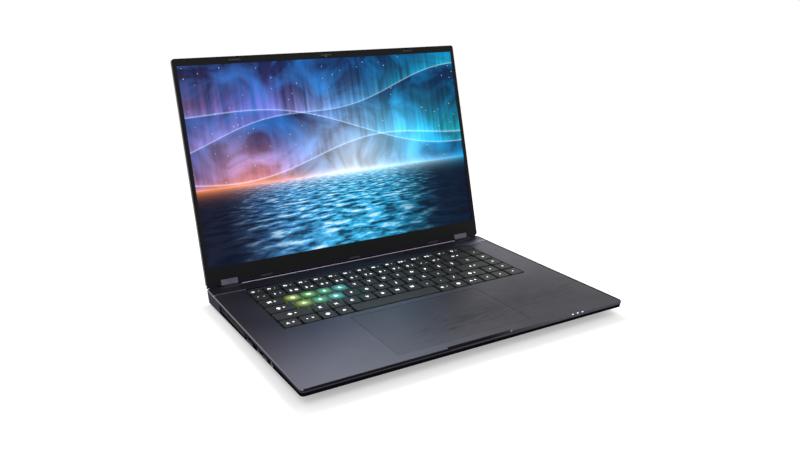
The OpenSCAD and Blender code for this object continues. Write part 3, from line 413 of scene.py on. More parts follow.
@dataclass(frozen=True)
class BoardFinish(Finish):
    """A printed circuit board: solder mask with pads, tracks and small parts in rows."""

    pad: Colour = (0.55, 0.42, 0.2)
    chip: Colour = (0.015, 0.015, 0.017)
    cell: float = 3.4 * MM
    brick: float = 9 * MM
    chip_height: float = 6.0

    def detail(self, on: Surface) -> None:
        """Adds tracks, pads and little chips."""
        cells = on.node("ShaderNodeTexVoronoi", {"Vector": on.where, "Scale": 1 / self.cell, "Randomness": 0.7},
                        distance="CHEBYCHEV").outputs
        small = on.under(cells["Distance"], 0.2)
        tone = on.axes(cells["Color"])[0]
        brick = on.node("ShaderNodeTexBrick", {"Vector": on.where, "Scale": 1 / self.brick, "Mortar Size": 0.03,
                                               "Color1": (1, 1, 1), "Color2": (1, 1, 1), "Mortar": (0, 0, 0)})
        track = on.minus(1.0, brick.outputs["Color"])
        on.paint(on.times(track, 0.35), tuple(1.8 * part for part in self.colour))
        on.paint(on.times(small, on.above(tone, 0.55)), self.pad)
        on.paint(on.times(small, on.under(tone, 0.3)), self.chip)
        on.height = on.plus(on.times(small, self.chip_height), on.height)


@dataclass(frozen=True)
class CaseFinish(Finish):
    """Fine-blasted anodised metal, with painted shade on its matt walls and on the bevels at the deck's height,
    painted light and a painted glint line on the front wall, and painted highlights on the left bevel and along the
    rear edge between the hinges.

    A span says where a mask starts and where it is full: painted_light_x in X, wall_up in the normal's Z, and so on.
    """

    wall: Colour = (0.06, 0.06, 0.078)
    # Painted shade: the near-black colour of the walls and of the deck's right edge.
    shadow: Colour = (0.004, 0.004, 0.005)
    # Painted glint: a grey line along the walls at line_z, standing in for light on a chamfer.
    line: Colour = (0.05, 0.047, 0.062)
    line_z: float = 14.9 * MM
    line_fade: Span = (1.0 * MM, 0.4 * MM)
    solid_y: Span = (48 * MM, 52 * MM)
    # Painted shade: the dark colour of the bevels, standing in for a dark reflection.
    bevel_shade: Colour = (0.014, 0.0135, 0.017)
    # Painted light: the front wall and its bevel turn lighter towards the right end.
    painted_light: Colour = (0.085, 0.083, 0.105)
    painted_light_x: Span = (12 * MM, 85 * MM)
    painted_light_side: Span = (0.5, 0.3)
    painted_light_z: Span = (13.4 * MM, 14.2 * MM)
    # Painted highlight on the bevels that face left.
    painted_highlight: Colour = (0.17, 0.165, 0.205)
    painted_highlight_side: Span = (-0.2, -0.5)
    # Painted highlight: a bright line along the rear edge between the hinges.
    lip_highlight: Colour = (0.7, 0.67, 0.85)
    polish_rough: float = 0.24
    wall_up: Span = (0.3, 0.2)
    bevel_up: Span = (0.3, 0.99)
    edge: Span = (0.0, 1.0)
    lip_low: float = 1.0
    lip_half: float = 1.0

    def detail(self, on: Surface) -> None:
        """Paints shade on the walls and the bevels, painted light and a painted glint line on the front wall, and
        painted highlights on the left bevel and the rear edge between the hinges.
        """
        x, y, z = on.axes(on.where)
        side, _, up = on.axes(on.facing())
        # The share of painted light: towards the right, on walls that don't face right.
        fade = on.times(on.range(x, *self.painted_light_x), on.range(side, *self.painted_light_side))
        # The walls: painted shade with the painted glint line and painted light, and their own colour at the back.
        wall_shade_and_light = on.mix(on.range(on.off(z, self.line_z), *self.line_fade), self.shadow, self.line)
        wall_shade_and_light = on.mix(on.times(fade, on.range(z, *self.painted_light_z)), wall_shade_and_light, self.painted_light)
        wall_shade_and_light = on.mix(on.range(y, *self.solid_y), wall_shade_and_light, self.wall)
        on.paint(self.matt(on), wall_shade_and_light)
        bevel = on.times(on.between(z, *self.edge), on.between(up, *self.bevel_up))
        lip_highlight = on.times(on.above(z, self.lip_low), on.under(on.off(x, 0.0), self.lip_half))
        # Bevels: painted shade that turns to painted light towards the right, and a painted highlight where they face
        # left.
        bevel_shade = on.mix(fade, self.bevel_shade, self.painted_light)
        on.paint(bevel, on.mix(on.range(side, *self.painted_highlight_side), bevel_shade, self.painted_highlight))
        # Painted highlight along the rear edge between the hinges.
        on.paint(lip_highlight, self.lip_highlight)
        shiny = on.most(bevel, lip_highlight)
        on.rough = on.plus(on.times(on.rough, on.minus(1.0, shiny)), on.times(shiny, self.polish_rough))

    def matt(self, on: Surface) -> Socket:
        """A mask of the walls and of everything below the bevels."""
        up = on.axes(on.facing())[2]
        return on.most(on.range(up, *self.wall_up), on.under(on.axes(on.where)[2], self.edge[0]))

    def light(self, on: Surface) -> None:
        """Leaves the walls matt, and the rest metallic."""
        on.plug(on.inputs["Metallic"], on.minus(self.metallic, self.matt(on)))


@dataclass(frozen=True)
class DeckFinish(CaseFinish):
    """The deck's metal, with a band of fine etched strokes across the palm rest, painted shade patches, and painted
    highlights and shade near its edges.
    """

    # The etched strokes' colour, also used for the painted shade patches.
    etch_and_shade: Colour = (0.0165, 0.017, 0.0235)
    etch_share: float = 0.9
    etch_depth: float = 1.5
    band_centre: Point = ORIGIN
    band_shape: Point = (1.0, 4.6, 0.0)
    band_reach: float = 0.155
    band_turn: float = math.radians(8)
    band_gain: float = 0.34
    brushes: tuple[Point, ...] = ((0.0, 52 * MM, 3.6 * MM), (math.radians(9), 30 * MM, 2.4 * MM))
    strip_y: float = 1.0
    strip_fade: Span = (4 * MM, 10 * MM)
    strip: Colour = (0.052, 0.05, 0.066)
    # Painted highlight: a brighter violet patch at the right end of the strip, standing in for light caught there.
    painted_sheen: Colour = (0.2, 0.19, 0.29)
    painted_sheen_x: Span = (0.12, 0.17)
    # Painted highlight: a bright line along the strip's front edge at the left end.
    step_highlight: Colour = (0.36, 0.35, 0.43)
    step_half: float = 0.143
    step_fade: Span = (1.6 * MM, 0.8 * MM)
    rim_x: float = 1.0
    rim_fade: float = 0.4 * MM
    rim_up: float = 0.9
    # Painted shade: darker patches, each a centre, a reach and a share.
    shade_patches: tuple[tuple[Point, float, float], ...] = ()
    shade_patch_shape: Point = (1.0, 1.3, 0.0)
    shade_patch_most: float = 0.72

    def detail(self, on: Surface) -> None:
        """Darkens the strip behind the keyboard, with a painted highlight at its right end, etches the palm rest,
        paints shade patches, and finishes the edges with painted shade and highlights.
        """
        x, y, _ = on.axes(on.where)
        # The strip, with the painted highlight towards its right end.
        strip = on.mix(on.range(x, *self.painted_sheen_x), self.strip, self.painted_sheen)
        strip = on.mix(on.range(y, *(self.strip_y + part for part in self.strip_fade)), strip, self.strip)
        on.paint(on.above(y, self.strip_y), strip)
        # Painted shade patches, in the same colour as the etched strokes.
        for centre, reach, share in self.shade_patches:
            tone = on.glow(on.where, centre, self.shade_patch_shape, reach, 1.0)
            on.paint(on.least(on.times(tone, share), self.shade_patch_most), self.etch_and_shade)
        strokes = self.strokes(on)
        on.paint(on.times(strokes, self.etch_share), self.etch_and_shade)
        on.height = on.minus(on.height, on.times(strokes, self.etch_depth))
        super().detail(on)
        # Painted highlight along the strip's front edge at the left end.
        near = on.range(on.off(y, self.strip_y), *self.step_fade)
        flat = on.above(on.axes(on.facing())[2], self.bevel_up[0])
        on.paint(on.times(near, on.times(flat, on.under(x, -self.step_half))), self.step_highlight)
        # Painted shade: a thin dark band along the deck's right edge.
        on.paint(self.shaded_rim(on), self.shadow)

    def shaded_rim(self, on: Surface) -> Socket:
        """A mask of the painted shade along the deck's right edge."""
        flat = on.above(on.axes(on.facing())[2], self.rim_up)
        return on.times(flat, on.range(on.axes(on.where)[0], self.rim_x - self.rim_fade, self.rim_x))

    def matt(self, on: Surface) -> Socket:
        """A mask of the walls, of everything below the bevels and of the painted shade along the right edge."""
        return on.most(super().matt(on), self.shaded_rim(on))

    def strokes(self, on: Surface) -> Socket:
        """A mask of long thin strokes, dense in the band's middle and loose at its ends."""
        along = on.turned(on.where, self.band_centre, (0.0, 0.0, self.band_turn))
        band = on.glow(along, ORIGIN, self.band_shape, self.band_reach, 0.7)
        brushes = (on.node("ShaderNodeMapping", {
            "Vector": along, "Rotation": (0.0, 0.0, turn), "Scale": (1 / length, 1 / width, 0.0)}).outputs[0]
            for turn, length, width in self.brushes)
        dense = on.most(*(on.noise(brush, 1.0, 2.0) for brush in brushes))
        shown = on.range(on.plus(dense, on.times(band, self.band_gain)), 0.72, 0.84)
        return on.times(shown, on.range(band, 0.0, 0.2))


@dataclass(frozen=True)
class LidFinish(Finish):
    """The lid's metal, anodised on its back, with painted shade that makes its edges and sill nearly black."""

    # Painted shade on the faces that don't face outward.
    shaded_rim: Colour = (0.014, 0.012, 0.019)
    outward: Point = (0.0, 1.0, 0.0)
    turned: Span = (0.35, 0.5)

    def detail(self, on: Surface) -> None:
        """Paints shade on everything that doesn't face outward."""
        out = on.range(on.dot(on.facing(), self.outward), *self.turned)
        on.colour = on.mix(out, self.shaded_rim, on.colour)


@dataclass(frozen=True)
class LitKeyFinish(Finish):
    """A keycap whose top shines in one colour, brightest round its legend."""

    shine: Colour = (0.1, 0.8, 0.4)
    centre: Point = ORIGIN
    shape: Point = (1.0, 1.15, 1.0)
    reach: float = 12 * MM
    strength: float = 1.0

    def light(self, on: Surface) -> None:
        """Lights the cap from its middle."""
        glow = on.glow(on.where, self.centre, self.shape, self.reach, 1.9)
        on.emit(on.mix(glow, BLACK, self.shine), self.strength)


@dataclass(frozen=True)
class PlateFinish(Finish):
    """The keyboard's plate, with a painted glow of coloured light round the lit keys."""

    centre: Point = ORIGIN
    left: Colour = (0.3, 0.5, 0.02)
    right: Colour = (0.0, 0.45, 0.5)
    half: float = 30 * MM
    shape: Point = (0.8, 1.5, 1.0)
    reach: float = 55 * MM
    strength: float = 0.6

    def light(self, on: Surface) -> None:
        """Paints the light spilt from the lit keys as a glow."""
        glow = on.glow(on.where, self.centre, self.shape, self.reach, 1.5)
        share = on.range(on.axes(on.where)[0], self.centre[0] - self.half, self.centre[0] + self.half)
        on.emit(on.mix(glow, BLACK, on.mix(share, self.left, self.right)), self.strength)


@dataclass(frozen=True)
class GlowFinish(Finish):
    """A small lamp or printed light: an even glow, a little brighter in spots."""

    shine: Colour = (1.0, 1.0, 1.0)
    spot: float = 1.5 * MM
    dim: float = 0.6
    strength: float = 1.0

    def light(self, on: Surface) -> None:
        """Lights the whole surface."""
        spots = on.range(on.noise(on.where, 1 / self.spot, 3.0), 0.3, 0.7, 0.85, 1.0)
        on.emit(on.mix(spots, tuple(self.dim * part for part in self.shine), self.shine), self.strength)


@dataclass(frozen=True)
class PictureFinish(Finish):
    """The display: northern lights over a dark sea, behind glass.

    Places in the picture are shares of its width, from its middle.
    """

    origin: Point = ORIGIN
    width: float = 0.347
    middle: float = 0.132
    horizon: float = -0.072
    horizon_half: float = 0.0015
    haze_reach: float = 0.011
    haze: Stops = (
        (0.0, (0.9, 0.25, 0.05)), (0.3, (0.8, 0.35, 0.25)), (0.55, (0.8, 0.95, 1.0)), (1.0, (0.02, 0.3, 0.5)))
    night: Stops = (
        (0.0, (0.006, 0.012, 0.05)), (0.4, (0.003, 0.015, 0.09)), (1.0, (0.001, 0.014, 0.07)))
    clouds: Stops = (
        (0.0, (0.04, 0.13, 0.5)), (0.3, (0.03, 0.25, 0.85)), (0.6, (0.0, 0.27, 0.75)), (1.0, (0.0, 0.26, 0.6)))
    lamps: tuple[tuple[Point, Point, float, Colour], ...] = (
        ((0.25, 0.02, 0.0), (1.0, 1.1, 1.0), 0.3, (0.08, 0.6, 0.9)),
        ((0.05, -0.05, 0.0), (0.7, 0.9, 1.0), 0.25, (1.0, 1.1, 1.15)),
        ((-0.3, -0.06, 0.0), (0.7, 1.1, 1.0), 0.2, (1.25, 0.4, 0.1)),
        ((-0.38, 0.04, 0.0), (0.8, 1.1, 1.0), 0.17, (0.3, 0.26, 0.55)))
    veils: Stops = (
        (0.0, (0.5, 0.22, 0.4)), (0.25, (0.42, 0.16, 0.65)), (0.5, (0.3, 0.55, 1.0)), (0.75, (0.02, 0.65, 1.0)),
        (1.0, (0.02, 0.75, 0.7)))
    veil_share: float = 0.5
    crease: Colour = (0.6, 0.8, 1.0)
    crease_share: float = 0.6
    water: Colour = (0.001, 0.004, 0.02)
    waves: Stops = (
        (0.0, (0.2, 0.16, 0.2)), (0.2, (0.1, 0.35, 0.8)), (0.5, (0.06, 0.6, 1.05)), (0.8, (0.02, 0.45, 0.8)),
        (1.0, (0.0, 0.1, 0.25)))
    glint: Colour = (0.7, 0.95, 1.0)
    star: Colour = (0.7, 0.85, 1.0)
    strength: float = 1.0

    def light(self, on: Surface) -> None:
        """Paints the picture as light."""
        x, _, z = on.axes(on.turned(on.where, self.origin, (-LID_LEAN, 0.0, 0.0)))
        across, up = on.over(x, self.width), on.over(on.minus(z, self.middle), self.width)
        uv, side = on.join(across, up), on.plus(across, 0.5)
        sky = self.curtains(on, uv, side, self.stars(on, uv, self.sky(on, uv, side)))
        below = on.range(up, self.horizon + self.horizon_half, self.horizon - self.horizon_half)
        colour = on.mix(below, sky, self.sea(on, uv, across, up))
        haze = on.decay(on.over(on.off(up, self.horizon), self.haze_reach))
        on.emit(on.mix(haze, colour, on.ramp(side, self.haze), "ADD"), self.strength)

    def sky(self, on: Surface, uv: Socket, side: Socket) -> Socket:
        """Night clouds of navy and blue, lit from below in orange, white and cyan."""
        bent = on.noise(uv, 5.0, 7.0, Distortion=1.3)
        colour = on.mix(on.range(bent, 0.42, 0.72), on.ramp(side, self.night), on.ramp(side, self.clouds))
        for centre, shape, reach, shine in self.lamps:
            glow = on.glow(uv, centre, shape, reach, 2.2)
            colour = on.mix(on.times(glow, on.range(bent, 0.35, 0.65, 0.35, 1.0)), colour, shine, "ADD")
        return colour

    def stars(self, on: Surface, uv: Socket, colour: Socket) -> Socket:
        """Stars scattered over the sky."""
        cells = on.node("ShaderNodeTexVoronoi", {"Vector": uv, "Scale": 60.0}).outputs
        tone = on.axes(cells["Color"])[0]
        dot = on.times(on.under(cells["Distance"], 0.09), on.above(tone, 0.55))
        return on.mix(on.times(dot, tone), colour, self.star)

    def curtains(self, on: Surface, uv: Socket, side: Socket, colour: Socket) -> Socket:
        """Curtains of northern light across the sky."""
        hue = on.ramp(side, self.veils)
        for layer in (
            {"Level": 0.0, "Slope": 0.1, "Swing": 0.03, "Turns": 7.2, "Shift": 0.6, "Width": 0.0016, "Veil": 0.06},
            {"Level": 0.09, "Slope": -0.16, "Swing": 0.035, "Turns": 6.1, "Shift": 2.6, "Width": 0.0012, "Veil": 0.05},
            {"Level": 0.16, "Slope": 0.2, "Swing": 0.02, "Turns": 9.4, "Shift": 4.0, "Width": 0.001, "Veil": 0.04},
        ):
            ribbon = on.group(on.effects.ribbon, {"Vector": uv, **layer}).outputs
            colour = on.mix(on.times(ribbon["Veil"], self.veil_share), colour, hue, "ADD")
            colour = on.mix(on.times(ribbon["Line"], self.crease_share), colour, self.crease, "ADD")
        return colour

    def sea(self, on: Surface, uv: Socket, across: Socket, up: Socket) -> Socket:
        """Dark water whose waves glint and get finer towards the horizon."""
        depth = on.most(on.minus(self.horizon, up), 0.0)
        far = on.over(1.0, on.plus(depth, 0.05))
        aside = on.times(on.minus(across, 0.05), far)
        noise = on.noise(on.join(on.times(aside, 2.6), on.times(far, 2.9)), 1.0, 3.0, Roughness=0.6)
        middle = on.glow(uv, (-0.02, self.horizon, 0.0), (1.1, 0.5, 1.0), 0.44, 1.5)
        middle = on.least(on.times(middle, 2.4), 1.0)
        crest = on.times(on.range(noise, 0.4, 0.57, 0.1, 1.0), on.plus(middle, 0.04))
        colour = on.mix(crest, self.water, on.ramp(on.plus(across, 0.5), self.waves))
        return on.mix(on.times(on.range(noise, 0.56, 0.66), middle), colour, self.glint)


# ---------- shapes ----------


def add_object(name: str, data: bpy.types.ID) -> bpy.types.Object:
    """Adds an object to the scene."""
    made = bpy.data.objects.new(name, data)
    bpy.context.scene.collection.objects.link(made)
    return made


class Shape:
    """A bmesh under construction, in metres, which becomes one piece."""

    def __init__(self, matrix: Matrix | None = None) -> None:
        """Starts an empty shape, with the matrix from the frame that it is drawn in to the part's."""
        self.mesh = bmesh.new()
        self.matrix = matrix or Matrix.Identity(4)

    def box(self, corner: Sequence[float], opposite: Sequence[float], round_by: float) -> None:
        """Adds a box with rounded edges between two opposite corners."""
        low, high = (Vector([choose(pair) for pair in zip(corner, opposite)]) for choose in (min, max))
        place = Matrix.Translation((low + high) / 2) @ Matrix.Diagonal((*(high - low), 1.0))
        made = bmesh.ops.create_cube(self.mesh, size=1.0, matrix=place)["verts"]
        edges = {edge for vert in made for edge in vert.link_edges}
        bmesh.ops.bevel(self.mesh, geom=list(edges), offset=round_by, offset_type="OFFSET", segments=2,
                        profile=0.5, affect="EDGES", material=-1)

    def rod(self, start: Sequence[float], end: Sequence[float], radius: float) -> None:
        """Adds a cylinder between two points."""
        first, last = Vector(start), Vector(end)
        along = last - first
        place = Matrix.Translation((first + last) / 2) @ along.to_track_quat("Z", "Y").to_matrix().to_4x4()
        bmesh.ops.create_cone(self.mesh, cap_ends=True, segments=ROD_SIDES, radius1=radius, radius2=radius,
                              depth=along.length, matrix=place)

    def lathe(self, profile: Sequence[Span], centre: Sequence[float], axis: Sequence[float], steps: int) -> None:
        """Adds a closed profile, spun round an axis.

        Args:
            profile: radii and heights, in millimetres.
            centre: where the heights start.
            axis: the way that they go.
            steps: how many steps make the turn.
        """
        turn = Vector(axis).normalized().to_track_quat("Z", "Y").to_matrix().to_4x4()
        place = Matrix.Translation(Vector(centre)) @ turn
        ring = [self.mesh.verts.new(place @ Vector((radius * MM, 0.0, height * MM))) for radius, height in profile]
        edges = [self.mesh.edges.new(pair) for pair in zip(ring, [*ring[1:], ring[0]])]
        bmesh.ops.spin(self.mesh, geom=ring + edges, cent=place @ Vector(), axis=turn.to_3x3() @ Vector((0, 0, 1)),
                       angle=2 * math.pi, steps=steps, use_merge=True)

    def text(self, words: str, size: float, centre: Sequence[float], bold: float) -> None:
        """Adds thin solid letters or signs, lying in the plane of X and Y about a centre.

        Args:
            words: the letters or signs.
            size: their size.
            centre: the middle of the words.
            bold: how much thicker the strokes get, as a share of the size.
        """
        curve = bpy.data.curves.new("sign", "FONT")
        curve.body = words
        curve.size = size
        curve.align_x = "CENTER"
        curve.align_y = "CENTER"
        curve.resolution_u = 2
        curve.offset = bold * size
        curve.extrude = SIGN_DEPTH
        holder = bpy.data.objects.new("sign", curve)
        flat = holder.to_mesh()
        flat.transform(Matrix.Translation(Vector(centre)))
        self.mesh.from_mesh(flat)
        holder.to_mesh_clear()
        bpy.data.objects.remove(holder)
        bpy.data.curves.remove(curve)

    def piece(self, name: str, body: str, finish: bpy.types.Material, slot: str, smooth: bool = False) -> None:
        """Makes the shape an object that rides on a body.

        Args:
            name: the piece's name.
            body: the body that it rides on.
            finish: its material.
            slot: the record's material slot; not used.
            smooth: smooth shading on faces that meet at a shallow angle.
        """
        bmesh.ops.remove_doubles(self.mesh, verts=self.mesh.verts, dist=MERGE_WITHIN)
        bmesh.ops.transform(self.mesh, matrix=self.matrix, verts=self.mesh.verts)
        bmesh.ops.recalc_face_normals(self.mesh, faces=self.mesh.faces)
        data = bpy.data.meshes.new(name)
        self.mesh.to_mesh(data)
        self.mesh.free()
        data.materials.append(finish)
        if smooth:
            data.shade_smooth()
            data.set_sharp_from_angle(angle=SMOOTH_ANGLE)
        made = add_object(name, data)
        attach(made, body)
        log.info("piece %s: %d faces on %s", name, len(data.polygons), body)


def soften(node: str, width: float) -> None:
    """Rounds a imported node's edges a little, without changing its mesh."""
    made = frame["nodes"][node]
    weld = made.modifiers.new("weld", "WELD")
    weld.merge_threshold = WELD_WITHIN
    bevel = made.modifiers.new("soft_edges", "BEVEL")
    bevel.width = width
    bevel.segments = 2
    bevel.limit_method = "ANGLE"
    bevel.angle_limit = SOFT_ANGLE


def islands(node: str) -> list[tuple[Vector, Vector]]:
    """The lowest and highest corners of each separate solid of a node, from left to right."""
    mesh = bmesh.new()
    mesh.from_mesh(frame["nodes"][node].data)
    bmesh.ops.remove_doubles(mesh, verts=mesh.verts, dist=WELD_WITHIN)
    left = set(mesh.verts)
    found = []
    while left:
        group, edge = set(), [left.pop()]
        while edge:
            vert = edge.pop()
            group.add(vert)
            near = {link.other_vert(vert) for link in vert.link_edges} & left
            left -= near
            edge.extend(near)
        corners = [[function(vert.co[i] for vert in group) for i in range(3)] for function in (min, max)]
        found.append((Vector(corners[0]), Vector(corners[1])))
    mesh.free()
    return sorted(found, key=lambda box: box[0].x)


# ---------- sub-assemblies ----------


@dataclass
class Assembly:
    """A sub-assembly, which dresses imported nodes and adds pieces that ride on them."""

    places: Places
    effects: Effects

    def dress(self, finish: Finish, *nodes: str) -> None:
        """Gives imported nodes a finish.

        Args:
            finish: the finish, which they share.
            nodes: their names.
        """
        material = finish.material(self.effects)
        for node in nodes:
            for holder in frame["nodes"][node].material_slots:
                holder.material = material
            log.info("dressed %s in %s", node, material.name)

    def build(self) -> None:
        """Builds the whole sub-assembly."""
        raise NotImplementedError


@dataclass
class Case(Assembly):
    """The machined top case with the touchpad, the bottom cover and what is fixed to them."""

    bevel: float = 0.95 * MM
    bevel_over: float = 0.05 * MM
    strip_depth: float = 24 * MM
    band_x: float = 80 * MM
    band_front: float = 52 * MM
    rim_in: float = 3.0 * MM
    lip_half: float = 141 * MM
    # Painted shade: darker patches on the right palm rest and beside the keyboard on the left.
    shade_patches: tuple[tuple[Point, float, float], ...] = (
        ((0.122, -0.124, 0.0), 0.17, 1.2), ((-0.15, -0.03, 0.0), 0.12, 0.7))

    def deck(self) -> None:
        """Dresses the top case and the touchpad."""
        low, high = self.places.case_low, self.places.case_high
        top = self.places.strip_z + self.bevel_over
        deck = DeckFinish(
            "anodised_deck", (0.073, 0.072, 0.088), (0.068, 0.067, 0.082), 0.42, 1.0, specular=0.0, grain=0.22 * MM,
            depth=0.006 * MM, mottle=40 * MM, gloss_spread=0.03, edge=(self.places.deck_z - self.bevel, top),
            lip_low=top, lip_half=self.lip_half, strip_y=high.y - self.strip_depth,
            band_centre=(self.band_x, low.y + self.band_front, 0.0), rim_x=high.x - self.rim_in, shade_patches=self.shade_patches)
        self.dress(deck, "top_case")
        # The touchpad keeps the deck's painted shade patches and the painted shade on its walls.
        pad = replace(deck, name="touchpad_glass", roughness=0.4, grain=0.15 * MM, depth=0.003 * MM, strip_y=1.0,
                      colour=(0.067, 0.064, 0.075), shade=(0.063, 0.06, 0.07), edge=(low.z, low.z))
        self.dress(pad, "touchpad")

    def underside(self) -> None:
        """Dresses the bottom cover, its screws and feet, and the touchpad's bracket."""
        self.dress(Finish(
            "bottom_plastic", (0.0095, 0.0095, 0.0105), (0.0085, 0.0085, 0.0095), 0.55, specular=0.25,
            grain=0.35 * MM, depth=0.03 * MM, gloss_spread=0.03), "bottom_cover")
        self.dress(RibbedFinish(
            "screw_steel", (0.25, 0.25, 0.28), (0.2, 0.2, 0.22), 0.32, 1.0, depth=0.004 * MM, pitch=0.2 * MM),
            "bottom_screws")
        self.dress(RibbedFinish(
            "foot_rubber", (0.012, 0.012, 0.012), (0.02, 0.02, 0.02), 0.8, depth=0.05 * MM, pitch=1.2 * MM),
            "rubber_feet")
        self.dress(RibbedFinish(
            "bracket_steel", (0.3, 0.3, 0.32), (0.25, 0.25, 0.27), 0.4, 1.0, depth=0.003 * MM, pitch=0.5 * MM),
            "touchpad_bracket")

    def build(self) -> None:
        """Builds the whole sub-assembly."""
        self.deck()
        self.underside()
        self.dress(GlowFinish(
            "status_glow", (0.7, 0.7, 0.7), (0.8, 0.8, 0.8), 0.3, shine=(0.88, 0.9, 1.0), strength=0.75),
            "status_lights")


class Sign(str, Enum):
    """Signs for keys that hold no single letter or number."""

    BACK = "\u21e6"
    TAB = "\u21c4"
    CAPS = "\u21ea"
    SHIFT = "\u21e7"
    ENTER = "\u21b2"
    UP = "\u25b4"
    DOWN = "\u25be"
    LEFT = "\u25c2"
    RIGHT = "\u25b8"
    CONTROL = "\u2227"
    CIRCLE = "\u25cb"
    DIAMOND = "\u25c7"
    BARS = "\u2261"
    FULL = "\u25c6"
    DOT = "\u2022"
    STAR = "\u2217"


LIT_KEYS: dict[str, Colour] = {
    "q_key": (0.42, 0.62, 0.02), "w_key": (0.12, 0.55, 0.05), "e_key": (0.02, 0.5, 0.2), "r_key": (0.02, 0.5, 0.45),
    "a_key": (0.35, 0.62, 0.04), "s_key": (0.04, 0.55, 0.22), "d_key": (0.03, 0.58, 0.55),
}

LEGENDS: dict[str, Sequence[str]] = {
    "function_keys": [Sign.CIRCLE, *[f"F{i}" for i in range(1, 13)], Sign.BARS, Sign.DIAMOND],
    "number_keys": "`1234567890-=",
    "backspace_key": [Sign.BACK],
    "tab_key": [Sign.TAB],
    "q_key": "Q", "w_key": "W", "e_key": "E", "r_key": "R",
    "upper_letter_keys": "TYUIOP[]\\",
    "caps_lock_key": [Sign.CAPS],
    "a_key": "A", "s_key": "S", "d_key": "D",
    "home_letter_keys": "FGHJKL;'",
    "enter_key": [Sign.ENTER],
    "left_shift_key": [Sign.SHIFT],
    "lower_letter_keys": "ZXCVBNM,./",
    "right_shift_key": [Sign.SHIFT],
    "modifier_keys": [Sign.CONTROL, Sign.DOT, Sign.FULL, Sign.BARS, Sign.BARS, Sign.FULL, Sign.CONTROL],
    "side_column_keys": ["-", "=", "+", Sign.STAR],
    "up_arrow_key": [Sign.UP],
    "left_arrow_key": [Sign.LEFT],
    "down_arrow_key": [Sign.DOWN],
    "right_arrow_key": [Sign.RIGHT],
}

SECOND_MARKS: dict[str, Sequence[str]] = {
    "number_keys": [*"~!@#$%^&", Sign.STAR, *"()_+"],
    "function_keys": [Sign.DOT] * 15,
    "modifier_keys": [Sign.BARS, Sign.BARS, "", "", Sign.DOT, "", Sign.BARS],
    **dict.fromkeys(("tab_key", "caps_lock_key", "left_shift_key", "right_shift_key", "enter_key", "backspace_key"),
                    [Sign.BARS]),
}


@dataclass
class Keyboard(Assembly):
    """The keys, their legends and the plate that they stand in."""

    legend_size: float = 5.0 * MM
    legend_lift: float = 0.01 * MM
    legend_bold: float = 0.045
    small: float = 0.8
    short_key: float = 14 * MM
    mark_in: float = 3.0 * MM
    mark_bold: float = 0.02
    edge: float = 0.16 * MM

    def caps(self) -> None:
        """Dresses every keycap, the lit ones each in its own colour."""
        nodes = [*LEGENDS, "space_bar", "power_button"]
        self.dress(Finish(
            "keycap_plastic", (0.018, 0.019, 0.018), (0.016, 0.017, 0.016), 0.5, specular=0.2, grain=0.25 * MM,
            gloss_spread=0.06), *(node for node in nodes if node not in LIT_KEYS))
        for node, shine in LIT_KEYS.items():
            low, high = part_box(node)
            middle = ((low.x + high.x) / 2, (low.y + high.y) / 2, high.z)
            self.dress(LitKeyFinish(
                f"{node}_lit_plastic", (0.034, 0.036, 0.034), (0.028, 0.03, 0.028), 0.5, shine=shine, centre=middle,
                strength=1.5), node)
        for node in nodes:
            soften(node, self.edge)

    def legends(self) -> None:
        """Adds a glowing legend on each key, one piece for each node."""
        glow = GlowFinish(
            "legend_glow", (0.6, 0.6, 0.6), (0.7, 0.7, 0.7), 0.5, shine=(0.85, 0.9, 0.95),
            strength=1.3).material(self.effects)
        for node, words in LEGENDS.items():
            shape = Shape()
            tops = islands(node)
            if node == "side_column_keys":
                tops.sort(key=lambda box: -box[0].y)
            for box, word, second in zip(tops, words, SECOND_MARKS.get(node, [""] * len(words))):
                self.legend(shape, box, word, second)
            shape.piece(f"{node}_legend", node, glow, "light_pipe")

    def legend(self, shape: Shape, box: tuple[Vector, Vector], word: str, second: str) -> None:
        """Adds one key's legend to a shape.

        Args:
            shape: the shape that holds the node's legends.
            box: the key's lowest and highest corners.
            word: the main sign.
            second: a smaller sign to its right, or nothing.
        """
        low, high = box
        size = self.legend_size * (self.small if len(word) > 1 or high.y - low.y < self.short_key else 1.0)
        x, y, z = (low.x + high.x) / 2, (low.y + high.y) / 2, high.z + self.legend_lift
        if second:
            shape.text(second, self.small * size, (x + self.mark_in, y, z), self.mark_bold)
            x -= self.mark_in
        shape.text(word, size, (x, y, z), self.legend_bold)

    def plate(self) -> None:
        """Dresses the plate, with painted light spilt round the lit keys."""
        low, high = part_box("q_key")
        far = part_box("r_key")[1]
        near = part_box("a_key")[0]
        middle = ((low.x + far.x) / 2, (near.y + high.y) / 2, low.z)
        self.dress(PlateFinish(
            "plate_black", (0.008, 0.009, 0.008), (0.012, 0.013, 0.012), 0.6, 0.2, centre=middle), "keyboard_plate")

    def build(self) -> None:
        """Builds the whole sub-assembly."""
        self.caps()
        self.legends()
        self.plate()


